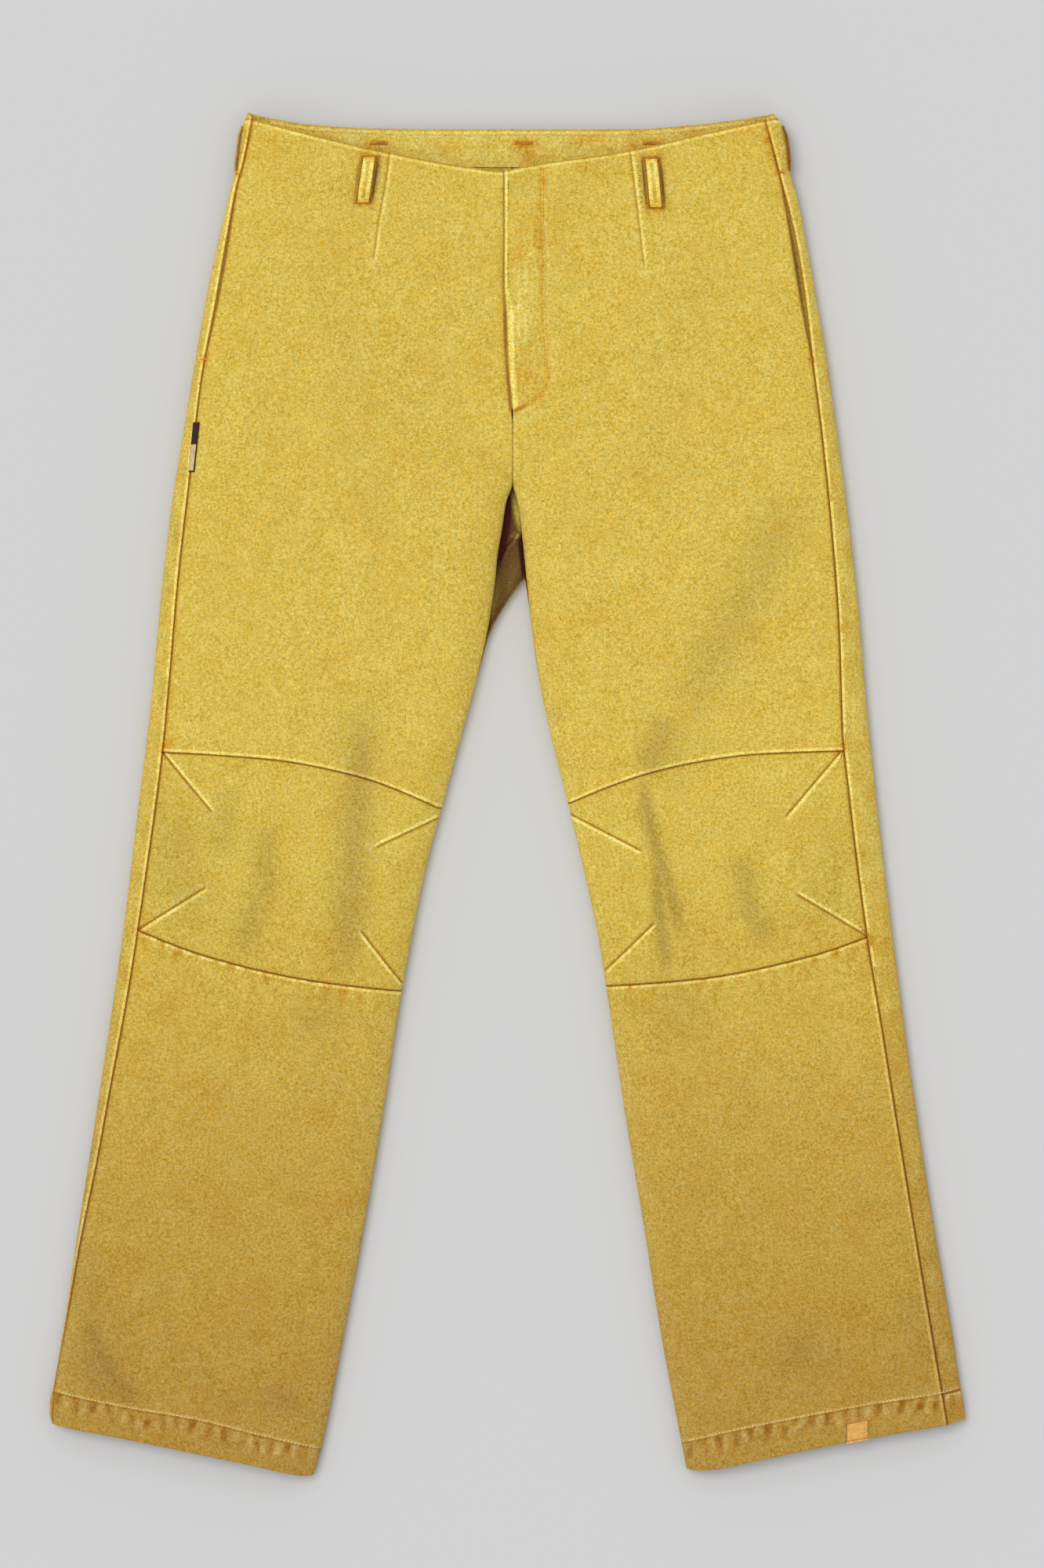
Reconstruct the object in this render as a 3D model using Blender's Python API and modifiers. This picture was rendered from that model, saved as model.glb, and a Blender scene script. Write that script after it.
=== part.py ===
"""Canvas work trousers with articulated knees, laid flat on their back.

Frame: X to the wearer's left, Y from the hems up to the waist, Z up out of the
front. The back rests on Z = 0 and the origin is under the middle of the box.
Every length below is in millimetres, and build_mesh turns it into metres.
Right and left are the wearer's, so the right leg lies at negative X.
"""

import math

import bmesh
import bpy

MM = 0.001

# Driving dimensions.
CLOTH = 1.6
FACING = 1.2
TAPE = 0.6
LAYER_GAP = 0.3
SEAM_GAP = 0.5
INSEAM_GAP = 1.0
FOLD_GAP = 1.2
FRONT_HEIGHT = ((-540, 18), (-300, 20), (-60, 22), (140, 24), (540, 24))
FOLD_HEIGHT = ((-540, 6), (400, 6), (480, 9), (540, 12))
BACK_LIFT = ((-540, 0), (425, 0), (474, 6.5), (540, 6.5))
FRONT_SHOULDER = 36
BACK_SHOULDER = 7

# Fold lines that the legs turn about, straight across the garment.
HIP_Y = 140
KNEE_Y = -58
KNEE_HALF = 32

# Outline of the garment as it lies, as (y, x), from the hem up to the waist.
OUTER_EDGE = {
    -1: ((-497, -361.5), (-470, -359), (-425, -352), (-87, -302), (71, -282), (226, -264), (338, -247),
         (444, -226), (494, -214), (530, -210.5), (538, -206)),
    1: ((-494, 361.5), (-467, 357), (-425, 350), (-77, 298), (71, 284), (230, 268.5), (257, 264.5),
        (338, 254), (444, 235.5), (492, 221), (530, 215), (538, 211)),
}
CROTCH = (13, 171)
CENTRE_BACK_X = 4
FRONT_CROTCH_X = 4
FRONT_CROTCH_Y = 248
WAIST_TOP = 540
INNER_EDGE = {
    -1: ((-539, -155), (-517, -149), (-425, -131), (-177, -89), (-78, -70), (38, -42), (96, -24),
         (128, -14), (171, 12)),
    1: ((-533, 146), (-513, 139), (-425, 122), (-177, 83), (-61, 60), (54, 33), (96, 24),
        (148, 18), (171, 14)),
}

# Front panel edges, as (y, x): the inseam edge and the centre seam above it.
FRONT_INNER = {
    -1: ((-539, -155), (-517, -149), (-425, -131), (-177, -89), (-78, -70), (38, -42), (96, -24),
         (128, -16), (183, -8), (FRONT_CROTCH_Y, 3), (299, 3), (304, 1.5), (WAIST_TOP, 1.5)),
    1: ((-533, 146), (-513, 139), (-425, 122), (-177, 83), (-61, 60), (54, 33), (96, 24),
        (148, 18), (209, 11), (FRONT_CROTCH_Y, 5), (300, 5)),
}
SIDE_SEAM = {
    -1: ((-497, -350), (-475, -347), (-161, -302), (-107, -292), (34, -273), (71, -269), (232, -253),
         (333, -241), (491, -208), (538, -198)),
    1: ((-497, 347), (-425, 335), (-173, 294), (-112, 285), (-33, 276), (35, 266), (71, 264),
        (335, 240), (491, 212), (538, 202)),
}

# Lines that run across the garment, as (x, y).
FRONT_WAIST = ((-205, 536), (-91, 508), (-30, 497), (-3, 494), (5, 496), (95, 510), (157, 524), (211, 536))
BACK_WAIST = ((-205, 539), (-153, 530), (-104, 527), (2, 525), (107, 527), (157, 531), (211, 539))
UPPER_KNEE_SEAM = {
    -1: ((-273, 34), (-186, 28), (-119, 15), (-55, -10)),
    1: ((50, -6), (116, 17), (189, 33), (265, 35)),
}
LOWER_KNEE_SEAM = {
    -1: ((-292, -107), (-236, -128), (-153, -147), (-85, -155)),
    1: ((80, -151), (154, -145), (241, -127), (285, -112)),
}
HEM_EDGE = {
    -1: ((-361.5, -497), (-291, -511), (-181, -534), (-155, -539)),
    1: ((146, -533), (194, -529), (269, -511), (361.5, -494)),
}
HEM_DEPTH = 24
FACING_DEPTH = 30
FACING_INNER_X = {-1: -24, 1: 66}
FACING_SIDE_GAP = 3
BACK_FACING_REACH = 188
BACK_FACING_COLUMNS = 16

# Distances in from an edge at which a panel gets a column of points.
MIDDLE_COLUMNS = 3
SIDE_COLUMNS = (0, 8, 20)
FRONT_FOLD_COLUMNS = (0, 1.5, 6, 14, 26)
FACING_COLUMNS = (0, 10)
CENTRE_BACK_COLUMNS = (0, 10)
BACK_FOLD_COLUMNS = (0, 0.6, 3, 7)

# Parts of the way from the outer fold up to the side seam, and of the way down a panel.
TURNED_EDGE = (0.12, 0.5, 1)
SEAT_STEPS = (0, 0.07, 0.13, 0.2, 0.28, 0.36, 0.44, 0.5, 0.58, 0.66, 0.71, 0.78, 0.88, 1)
LEG_ROWS = 3
SHIN_ROWS = 4
SHIN_FRONT_LENGTH = 385
SHIN_BACK_LENGTH = 425

# Slanted side pockets: the front panel's edge bows away from the side seam.
POCKET_MOUTH_Y = (345, 486)
POCKET_MOUTH_BOW = 8.5
POCKET_BAG_BOTTOM_Y = 300
POCKET_BAG_INSET = (24, 112)
POCKET_BAG_FLOOR = 8.6
POCKET_BAG_CLOTH = 0.8
POCKET_BAG_STEPS = (0, 0.12, 0.3, 0.62, 1)
POCKET_EDGE_ROWS = 8

# Fly: the flap turns about a slanting line from the bottom of the fly.
FLY_EDGE_X = -3
FLY_BOTTOM = (6.5, 307)
FLY_TOP = (60, 499)
FLAP_CLOTH = 1.4
FLAP_ROWS = (0, 0.08, 0.25, 0.45, 0.65, 0.8, 0.92, 1)
FLAP_COLUMNS = (0, 0.15, 0.35, 0.55, 0.75, 1)
FLAP_LIFT = 2.0
FLAP_BULGE = 0.6
FLAP_FLAT_PART = 0.7
SHIELD_Y = (488, 400, 316)
SHIELD_PROFILE = ((-22, 19.4), (-9, 19.4), (-3, 17.7), (30, 17.7))
WAIST_TAB = ((2.2, 473, 22.3), (34, 491, 23.5))

# Zip: it runs up Y, and its sizes are given as (across, along, through).
ZIP_X = 6.5
ZIP_Y = (330, 460)
ZIP_Z = 20.3
TAPE_START = 2.6
TAPE_WIDTH = 13
TAPE_TAILS = (8, 16)
TOOTH_PITCH = 5
TOOTH_ROW = (0.6, 2.3)
TOOTH_SPINE = 1.5
TOOTH_RISE = (1, 1.4, 3.6, 4)
TOOTH_THICKNESS = 2.2
ZIP_STOP = (4.6, 3.6, 2.4)
ZIP_STOP_GAP = 0.4
SLIDER = (8, 10, 3.9)
SLIDER_Y = 452
SLIDER_ARCH = (1.2, 8, 2.9)
ARCH_RISE = 0.95
ARCH_WINDOW = (4, 5.2, 1.8)
SLIDER_CHANNEL = (5.4, 12, 3)
TAPE_SLOTS = (10, 12, 1.2)
SLIDER_POST = (0.6, 2.8, 3.4)
POST_SETBACK = 1.6
PULL = (5.5, 22, 1)
PULL_PIVOT_Z = 23.15
PULL_PIVOT_SETBACK = 3.3
PULL_ABOVE_PIVOT = 0.5
PULL_EYE = (2.6, 6, 3)
PULL_EYE_SETBACK = 4
PULL_GRIP = (2.4, 7.5, 3)
PULL_GRIP_SETBACK = 15.75

# Press stud at the waist: height of the base, inner radius and outer radius.
SNAP = (22, 484)
SNAP_STUD = (23.8, 0, 2.4)
SNAP_SOCKET = (24.0, 3.1, 5.6)
SNAP_HEIGHT = 0.9
TURN_STEPS = 20

# Belt loops, each from its top to its bottom.
LOOP_WIDTH = 12
LOOP_CLOTH = 1.4
LOOP_GAP = 4.6
LOOP_END = 4
LOOP_SLOPE = 3
FRONT_LOOPS = (("right", (-108, 505), (-115, 469)), ("left", (114, 503), (118, 467)))
BACK_LOOPS = (("right", -102), ("centre", 13), ("left", 114))
BACK_LOOP_Y = (519, 484)
SIDE_LOOP_Y = (530, 495)
SIDE_LOOP_GAP = 6
SIDE_LOOP_CLEARANCE = 0.7
SIDE_LOOP_Z = 13

# Hem label, and the two ends of the tag in the right side seam.
LABEL_X = (268.5, 277, 285.5)
LABEL_Y = (-497, -503.5, -510)
LABEL_SLOPE = 0.18
LABEL_CLOTH = 0.5
LABEL_LIFT = 0.8
TAG_BROWN_Y = (297, 278.4)
TAG_CREAM_Y = (278, 259)
TAG_COLUMNS = (0.02, 0.4, 0.75)
TAG_CLOTH = 0.6
TAG_LIFT = 1.3


def between(points, at):
    """Value of a polyline of (position, value) pairs at a position."""
    first, last = points[0], points[-1]
    if at <= first[0]:
        return first[1]
    if at >= last[0]:
        return last[1]
    for (p, a), (q, b) in zip(points, points[1:]):
        if at <= q:
            return a + (b - a) * (at - p) / (q - p)
    return last[1]


def ellipse_rise(distance, reach):
    """0 at a fold and 1 from reach inwards, as a quarter of an ellipse."""
    left = 1 - min(max(distance, 0) / reach, 1)
    return math.sqrt(1 - left * left)


def inset(x, y):
    """Distance from a point to the nearest fold of the laid garment."""
    side = -1 if x < CROTCH[0] else 1
    outer = abs(between(OUTER_EDGE[side], y) - x)
    if y > CROTCH[1]:
        return min(outer, math.hypot(x - CROTCH[0], y - CROTCH[1]))
    return min(outer, abs(between(INNER_EDGE[side], y) - x))


def front_inset(x, y):
    """Distance to the nearest fold, with the front panels' own crotch point."""
    side = -1 if x < FRONT_CROTCH_X else 1
    outer = abs(between(OUTER_EDGE[side], y) - x)
    if y > FRONT_CROTCH_Y:
        return min(outer, math.hypot(x - FRONT_CROTCH_X, y - FRONT_CROTCH_Y))
    return min(outer, abs(between(FRONT_INNER[side], y) - x))


def front_z(x, y):
    low = between(FOLD_HEIGHT, y)
    return low + (between(FRONT_HEIGHT, y) - low) * ellipse_rise(front_inset(x, y), FRONT_SHOULDER)


def back_z(x, y):
    low = between(BACK_LIFT, y)
    return low + (between(FOLD_HEIGHT, y) - low) * (1 - ellipse_rise(inset(x, y), BACK_SHOULDER))


def crossing(edge, line):
    """Height at which an (y, x) edge meets an (x, y) line."""
    y = line[0][1]
    for _ in range(20):
        y = between(line, between(edge, y))
    return y


def across(start, middle, end, width):
    """Fractions across a panel: fixed distances from both ends, and an even middle."""
    a, b = start[-1] / width, 1 - end[-1] / width
    inner = [a + (b - a) * i / middle for i in range(1, middle)]
    return [s / width for s in start] + inner + [1 - e / width for e in reversed(end)]


def plan_row(outer, inner, top, bottom, v, fractions):
    """Points (x, y) of one row of a panel between two edges and two lines."""
    top_o, top_i = crossing(outer, top), crossing(inner, top)
    bottom_o, bottom_i = crossing(outer, bottom), crossing(inner, bottom)
    yo, yi = top_o + (bottom_o - top_o) * v, top_i + (bottom_i - top_i) * v
    xo, xi = between(outer, yo), between(inner, yi)
    row = []
    for u in fractions(abs(xi - xo)):
        tx = between(outer, top_o) * (1 - u) + between(inner, top_i) * u
        bx = between(outer, bottom_o) * (1 - u) + between(inner, bottom_i) * u
        bow_top = between(top, tx) - (top_o * (1 - u) + top_i * u)
        bow_bottom = between(bottom, bx) - (bottom_o * (1 - u) + bottom_i * u)
        y = yo * (1 - u) + yi * u + (1 - v) * bow_top + v * bow_bottom
        row.append((xo * (1 - u) + xi * u, y))
    return row


def shifted(points, amount):
    """The same polyline with its values moved by an amount."""
    return tuple((at, value + amount) for at, value in points)


def level(y):
    """A line straight across at one height."""
    return ((-400, y), (400, y))


def material(name, colour, roughness, metallic=0.0):
    """Principled material; the colour is given as 8-bit display values."""
    made = bpy.data.materials.get(name)
    if made:
        return made
    made = bpy.data.materials.new(name)
    made.use_nodes = True
    shader = made.node_tree.nodes["Principled BSDF"]
    linear = [((c / 255 + 0.055) / 1.055) ** 2.4 for c in colour]
    shader.inputs["Base Color"].default_value = (*linear, 1)
    shader.inputs["Roughness"].default_value = roughness
    shader.inputs["Metallic"].default_value = metallic
    return made


def canvas():
    return material("mustard_canvas", (214, 186, 82), 0.92)


def faded_canvas():
    return material("ochre_canvas", (190, 155, 68), 0.92)


def lining():
    return material("facing_canvas", (208, 181, 84), 0.92)


def zip_tape():
    return material("zip_tape", (196, 166, 74), 0.85)


def zip_metal():
    return material("antique_brass", (150, 118, 62), 0.38, 1.0)


def tag_brown():
    return material("tag_brown", (62, 40, 28), 0.8)


def tag_cream():
    return material("tag_cream", (222, 190, 138), 0.8)


def collection(name):
    made = bpy.data.collections.new(name)
    bpy.context.scene.collection.children.link(made)
    return made


def build_mesh(name, verts, faces, look, origin=(0, 0, 0)):
    """An object in the garment's collection, with its origin on a given point."""
    mesh = bpy.data.meshes.new(name)
    local = [[(c - o) * MM for c, o in zip(v, origin)] for v in verts]
    mesh.from_pydata(local, [], faces)
    mesh.materials.append(look)
    obj = bpy.data.objects.new(name, mesh)
    obj.location = [o * MM for o in origin]
    bpy.data.collections["work_trousers"].objects.link(obj)
    return obj


def grid_faces(rows, columns, flip=False):
    faces = []
    for r in range(rows - 1):
        for c in range(columns - 1):
            a = r * columns + c
            quad = (a, a + 1, a + columns + 1, a + columns)
            faces.append(quad[::-1] if flip else quad)
    return faces


def sink(obj, depth):
    """Moves an open surface inwards along its own normals."""
    mesh = obj.data
    steps = [v.normal * -depth * MM for v in mesh.vertices]
    for vertex, step in zip(mesh.vertices, steps):
        vertex.co += step


def thicken(obj, thickness):
    solid = obj.modifiers.new("thickness", "SOLIDIFY")
    solid.thickness = thickness * MM
    solid.offset = -1
    solid.use_even_offset = True
    obj.data.shade_smooth()
    obj.data.set_sharp_from_angle(angle=math.radians(50))


def cloth_node(name, rows, look, thickness=CLOTH, depth=0.0, outward=None, origin=(0, 0, 0)):
    """A sheet from rows of points: its outside faces outward, its thickness goes in."""
    verts = [p for row in rows for p in row]
    obj = build_mesh(name, verts, grid_faces(len(rows), len(rows[0])), look, origin)
    if sum(face.normal.z * face.area for face in obj.data.polygons) * outward < 0:
        obj.data.flip_normals()
    if depth:
        sink(obj, depth)
    thicken(obj, thickness)
    return obj


def front_rows(side, top, bottom, steps, outer=None, inner=None, folds=True):
    """Rows of points over the front between two lines."""
    outer = outer or shifted(SIDE_SEAM[side], -side * SEAM_GAP)
    inner = inner or FRONT_INNER[side]
    near_inner = FRONT_FOLD_COLUMNS if folds else FACING_COLUMNS
    rows = []
    for v in steps:
        plan = plan_row(
            outer, inner, top, bottom, v, lambda w: across(SIDE_COLUMNS, MIDDLE_COLUMNS, near_inner, w)
        )
        rows.append([(x, y, front_z(x, y)) for x, y in plan])
        x, y, z = rows[-1][-1]
        if y < FRONT_CROTCH_Y:
            rows[-1][-1] = (x, y, z + INSEAM_GAP)
    return rows


def back_rows(side, top, bottom, steps, centre=None):
    """Rows from the inseam under the leg, round the outer fold and up to the side seam."""
    rows = []
    inner, outer = centre or INNER_EDGE[side], OUTER_EDGE[side]
    start = CENTRE_BACK_COLUMNS if centre else BACK_FOLD_COLUMNS
    for v in steps:
        plan = plan_row(
            inner, outer, top, bottom, v, lambda w: across(start, MIDDLE_COLUMNS, BACK_FOLD_COLUMNS, w)
        )
        row = [(x, y, back_z(x, y)) for x, y in plan]
        x, y, z = row[0]
        if y < CROTCH[1]:
            row[0] = (x, y, z - INSEAM_GAP)
        x, y, z = row[-1]
        seam = between(SIDE_SEAM[side], y) + side * SEAM_GAP
        for part in TURNED_EDGE:
            at = x + (seam - x) * part
            row.append((at, y, front_z(at, y)))
        rows.append(row)
    return rows


def steps(count):
    return [i / count for i in range(count + 1)]


def shin_steps(length):
    """Rows down a shin, with one of them along the top of the hem allowance."""
    last = 1 - HEM_DEPTH / length
    return [last * part for part in steps(SHIN_ROWS)] + [1]


def pocket_edge(side):
    """Front panel's outer edge, bowed in from the side seam along the pocket mouth."""
    low, high = POCKET_MOUTH_Y
    mouth = {low + (high - low) * part for part in steps(POCKET_EDGE_ROWS)}
    places = sorted({y for y, _ in SIDE_SEAM[side]} | mouth)
    edge = []
    for y in places:
        bow = 0.0
        if low < y < high:
            bow = POCKET_MOUTH_BOW * math.sin(math.pi * (y - low) / (high - low))
        edge.append((y, between(SIDE_SEAM[side], y) - side * (SEAM_GAP + bow)))
    return tuple(edge)


def fly_line():
    """The flap's fold line as an (y, x) edge, carried down along the centre seam."""
    (x0, y0), (x1, y1) = FLY_BOTTOM, FLY_TOP
    return FRONT_INNER[1][:-1] + ((y0 - 1, x0), (y1, x1), (WAIST_TOP, x1))


def make_seat():
    """Front and back panels from the waist to the hip fold."""
    waist, hip = shifted(FRONT_WAIST, -SEAM_GAP), level(HIP_Y + SEAM_GAP)
    rows = front_rows(-1, waist, hip, SEAT_STEPS, outer=pocket_edge(-1))
    cloth_node("front_right_panel", rows, canvas(), outward=1)
    rows = front_rows(1, waist, hip, SEAT_STEPS, outer=pocket_edge(1), inner=shifted(fly_line(), SEAM_GAP))
    cloth_node("front_left_panel", rows, canvas(), outward=1)
    for side, name in ((-1, "back_right_panel"), (1, "back_left_panel")):
        gap = SEAM_GAP * side
        lower = tuple(p for p in INNER_EDGE[side] if p[0] < CROTCH[1])
        centre = lower + ((CROTCH[1], CROTCH[0] + gap), (WAIST_TOP, CENTRE_BACK_X + gap))
        cloth_node(name, back_rows(side, BACK_WAIST, hip, SEAT_STEPS, centre), canvas(), outward=-1)


def make_legs():
    """Thigh, knee and shin of each leg, front and back; the back's own seams are level."""
    for side, word in ((-1, "right"), (1, "left")):
        hip, upper, lower = level(HIP_Y - SEAM_GAP), UPPER_KNEE_SEAM[side], LOWER_KNEE_SEAM[side]
        hem, leg_steps = HEM_EDGE[side], steps(LEG_ROWS)
        knee = (shifted(upper, -SEAM_GAP), shifted(lower, SEAM_GAP))
        shin_top, shin_rows = shifted(lower, -SEAM_GAP), shin_steps(SHIN_FRONT_LENGTH)
        fronts = (
            (f"thigh_front_{word}", hip, shifted(upper, SEAM_GAP), leg_steps, canvas()),
            (f"knee_panel_{word}", *knee, leg_steps, canvas()),
            (f"shin_front_{word}", shin_top, hem, shin_rows, faded_canvas()),
        )
        for name, top, bottom, places, look in fronts:
            cloth_node(name, front_rows(side, top, bottom, places), look, outward=1)
        knee_top, knee_bottom = KNEE_Y + KNEE_HALF, KNEE_Y - KNEE_HALF
        knee = (level(knee_top - SEAM_GAP), level(knee_bottom + SEAM_GAP))
        shin_top, shin_rows = level(knee_bottom - SEAM_GAP), shin_steps(SHIN_BACK_LENGTH)
        backs = (
            (f"thigh_back_{word}", hip, level(knee_top + SEAM_GAP), leg_steps, canvas()),
            (f"knee_back_{word}", *knee, steps(1), canvas()),
            (f"shin_back_{word}", shin_top, hem, shin_rows, faded_canvas()),
        )
        for name, top, bottom, places, look in backs:
            cloth_node(name, back_rows(side, top, bottom, places), look, outward=-1)


def make_hems():
    """The turned-up hem allowance inside each leg, front and back, clear of the folds."""
    depth = CLOTH + LAYER_GAP
    for side, word in ((-1, "right"), (1, "left")):
        top, bottom = shifted(HEM_EDGE[side], HEM_DEPTH), shifted(HEM_EDGE[side], SEAM_GAP)
        rows = [row[:-2] for row in front_rows(side, top, bottom, steps(1))]
        cloth_node(f"hem_front_{word}", rows, faded_canvas(), FACING, depth, outward=1)
        rows = [row[3:-5] for row in back_rows(side, top, bottom, steps(1))]
        cloth_node(f"hem_back_{word}", rows, faded_canvas(), FACING, depth, outward=-1)


def make_waist_facings():
    """Strips inside the waist: two on the front, stopping at the fly, and one on the back."""
    depth = CLOTH + LAYER_GAP
    top, bottom = shifted(FRONT_WAIST, -1), shifted(FRONT_WAIST, -FACING_DEPTH)
    for side, word in ((-1, "right"), (1, "left")):
        outer = shifted(SIDE_SEAM[side], -side * FACING_SIDE_GAP)
        inner = ((0, FACING_INNER_X[side]), (WAIST_TOP, FACING_INNER_X[side]))
        rows = front_rows(side, top, bottom, steps(1), outer, inner, folds=False)
        cloth_node(f"waist_facing_front_{word}", rows, lining(), FACING, depth, outward=1)
    top, bottom = shifted(BACK_WAIST, -1), shifted(BACK_WAIST, -FACING_DEPTH)
    places = [BACK_FACING_REACH * (2 * part - 1) for part in steps(BACK_FACING_COLUMNS)]
    rows = []
    for line in (top, bottom):
        rows.append([(x, between(line, x), back_z(x, between(line, x))) for x in places])
    cloth_node("waist_facing_back", rows, lining(), FACING, depth, outward=-1)


def make_pocket_bags():
    """Flat bags under the front, open at the pocket mouth and closed elsewhere."""
    low, high = POCKET_BAG_BOTTOM_Y, POCKET_MOUTH_Y[1] - 10
    near, far = POCKET_BAG_INSET
    for side, word in ((-1, "right"), (1, "left")):
        rings = []
        for part in POCKET_BAG_STEPS:
            reach = near + (far - near) * part
            ring = []
            for y, is_top in ((high, True), (high, False), (low, False), (low, True)):
                x = between(OUTER_EDGE[side], y) - side * reach
                roof = front_z(x, y) - CLOTH - 2 * LAYER_GAP
                ring.append((x, y, roof if is_top else POCKET_BAG_FLOOR))
            rings.append(ring)
        verts = [p for ring in rings for p in ring]
        faces = []
        for r in range(len(rings) - 1):
            for c in range(4):
                a, b = r * 4 + c, r * 4 + (c + 1) % 4
                faces.append((a, b, b + 4, a + 4))
        last = (len(rings) - 1) * 4
        faces.append((last, last + 1, last + 2, last + 3))
        obj = build_mesh(f"pocket_bag_{word}", verts, faces, lining())
        outside(obj)
        thicken(obj, POCKET_BAG_CLOTH)


def outside(obj):
    """Turns the faces of an almost closed shell outwards."""
    made = bmesh.new()
    made.from_mesh(obj.data)
    bmesh.ops.recalc_face_normals(made, faces=made.faces)
    made.to_mesh(obj.data)
    made.free()


def make_fly_flap():
    """The fly's overlap: it covers the zip and turns about its slanting fold line."""
    (x0, y0), (x1, y1) = FLY_BOTTOM, FLY_TOP
    edge_top = between(FRONT_WAIST, FLY_EDGE_X)
    rows = []
    for v in FLAP_ROWS:
        fold_x, fold_y = x1 + (x0 - x1) * v - FOLD_GAP, y1 + (y0 - y1) * v
        edge_y = edge_top + (y0 - edge_top) * v
        row = []
        for u in FLAP_COLUMNS:
            x, y = FLY_EDGE_X + (fold_x - FLY_EDGE_X) * u, edge_y + (fold_y - edge_y) * u
            if v == 0:
                y = between(FRONT_WAIST, x)
            row.append((x, y, front_z(x, y) + flap_lift(u)))
        rows.append(row)
    fold = (x1, y1, front_z(x1, y1))
    cloth_node("fly_flap", rows, canvas(), FLAP_CLOTH, outward=1, origin=fold)


def flap_lift(u):
    """Height of the flap over the front, from its free edge at 0 to its fold line at 1."""
    if u < FLAP_FLAT_PART:
        return FLAP_LIFT + FLAP_BULGE * math.sin(math.pi * u / FLAP_FLAT_PART)
    return FLAP_LIFT * (1 - u) / (1 - FLAP_FLAT_PART)


def box(name, low, high, look, origin=(0, 0, 0)):
    """A block between two opposite corners."""
    centre = [(a + b) / 2 for a, b in zip(low, high)]
    made = bmesh.new()
    bmesh.ops.create_cube(made, size=1)
    for v in made.verts:
        v.co = [(c + co * (b - a)) for c, co, a, b in zip(centre, v.co, low, high)]
    verts = [tuple(v.co) for v in made.verts]
    faces = [tuple(v.index for v in f.verts) for f in made.faces]
    made.free()
    return build_mesh(name, verts, faces, look, origin)


def block(name, centre, size, look, origin=(0, 0, 0)):
    """A block round a centre."""
    low = [c - s / 2 for c, s in zip(centre, size)]
    high = [c + s / 2 for c, s in zip(centre, size)]
    return box(name, low, high, look, origin)


def combine(obj, tools, operation):
    """Unites an object with helper blocks, or cuts them out of it."""
    for tool in tools:
        cut = obj.modifiers.new(tool.name, "BOOLEAN")
        cut.operation = operation
        cut.solver = "EXACT"
        cut.object = tool
        for holder in tool.users_collection:
            holder.objects.unlink(tool)
        bpy.data.collections["cutters"].objects.link(tool)
        tool.hide_render = True
        tool.display_type = "WIRE"


def make_zip():
    """Two tapes with their rows of teeth, the bottom stop, the slider and its pull."""
    low, high = ZIP_Y
    for word, side in (("right", -1), ("left", 1)):
        a, b = sorted((ZIP_X + side * TAPE_START, ZIP_X + side * (TAPE_START + TAPE_WIDTH)))
        ends = (low - TAPE_TAILS[0], high + TAPE_TAILS[1])
        box(f"zip_tape_{word}", (a, ends[0], ZIP_Z - TAPE / 2), (b, ends[1], ZIP_Z + TAPE / 2), zip_tape())
        outline = [(ZIP_X + side * x, y) for x, y in tooth_edge(side)]
        flat_outline(f"zip_teeth_{word}", outline, ZIP_Z, TOOTH_THICKNESS, zip_metal())
    stop_y = low - ZIP_STOP_GAP - ZIP_STOP[1] / 2
    block("zip_stop", (ZIP_X, stop_y, ZIP_Z), ZIP_STOP, zip_metal())
    make_slider()
    make_pull()


def tooth_edge(side):
    """Outline of one row of teeth, as (distance from the zip's middle, y)."""
    low, high = ZIP_Y
    tip, back = TOOTH_ROW
    start = low + (TOOTH_PITCH / 2 if side > 0 else 0)
    edge = [(back, low), (back, high), (TOOTH_SPINE, high)]
    for i in reversed(range(int((high - low) / TOOTH_PITCH) - 1)):
        y = [start + i * TOOTH_PITCH + rise for rise in TOOTH_RISE]
        edge += [(TOOTH_SPINE, y[3]), (tip, y[2]), (tip, y[1]), (TOOTH_SPINE, y[0])]
    edge.append((TOOTH_SPINE, low))
    return edge


def make_slider():
    """A body hollow for the teeth and slit for the tapes, with an arch that holds the pull."""
    centre = (ZIP_X, SLIDER_Y, ZIP_Z)
    top_y, top_z = SLIDER_Y + SLIDER[1] / 2, ZIP_Z + SLIDER[2] / 2
    slider = block("zip_slider", centre, SLIDER, zip_metal(), centre)
    arch = block("slider_arch", (ZIP_X, SLIDER_Y, top_z + ARCH_RISE), SLIDER_ARCH, zip_metal())
    window = block("arch_window", (ZIP_X, SLIDER_Y, top_z + ARCH_WINDOW[2] / 2), ARCH_WINDOW, zip_metal())
    channel = block("slider_channel", centre, SLIDER_CHANNEL, zip_metal())
    slots = block("tape_slots", centre, TAPE_SLOTS, zip_metal())
    post = block("slider_post", (ZIP_X, top_y - POST_SETBACK, ZIP_Z), SLIDER_POST, zip_metal())
    combine(slider, [arch], "UNION")
    combine(slider, [window, channel, slots], "DIFFERENCE")
    combine(slider, [post], "UNION")


def make_pull():
    """The pull lies down the zip; its top bar passes under the slider's arch."""
    long = PULL[1]
    pivot_y = SLIDER_Y + SLIDER[1] / 2 - PULL_PIVOT_SETBACK
    top = pivot_y + PULL_ABOVE_PIVOT
    pivot = (ZIP_X, pivot_y, PULL_PIVOT_Z)
    pull = block("zip_pull", (ZIP_X, top - long / 2, PULL_PIVOT_Z), PULL, zip_metal(), pivot)
    eye = block("pull_eye", (ZIP_X, top - PULL_EYE_SETBACK, PULL_PIVOT_Z), PULL_EYE, zip_metal())
    grip = block("pull_grip", (ZIP_X, top - PULL_GRIP_SETBACK, PULL_PIVOT_Z), PULL_GRIP, zip_metal())
    combine(pull, [eye, grip], "DIFFERENCE")


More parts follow.
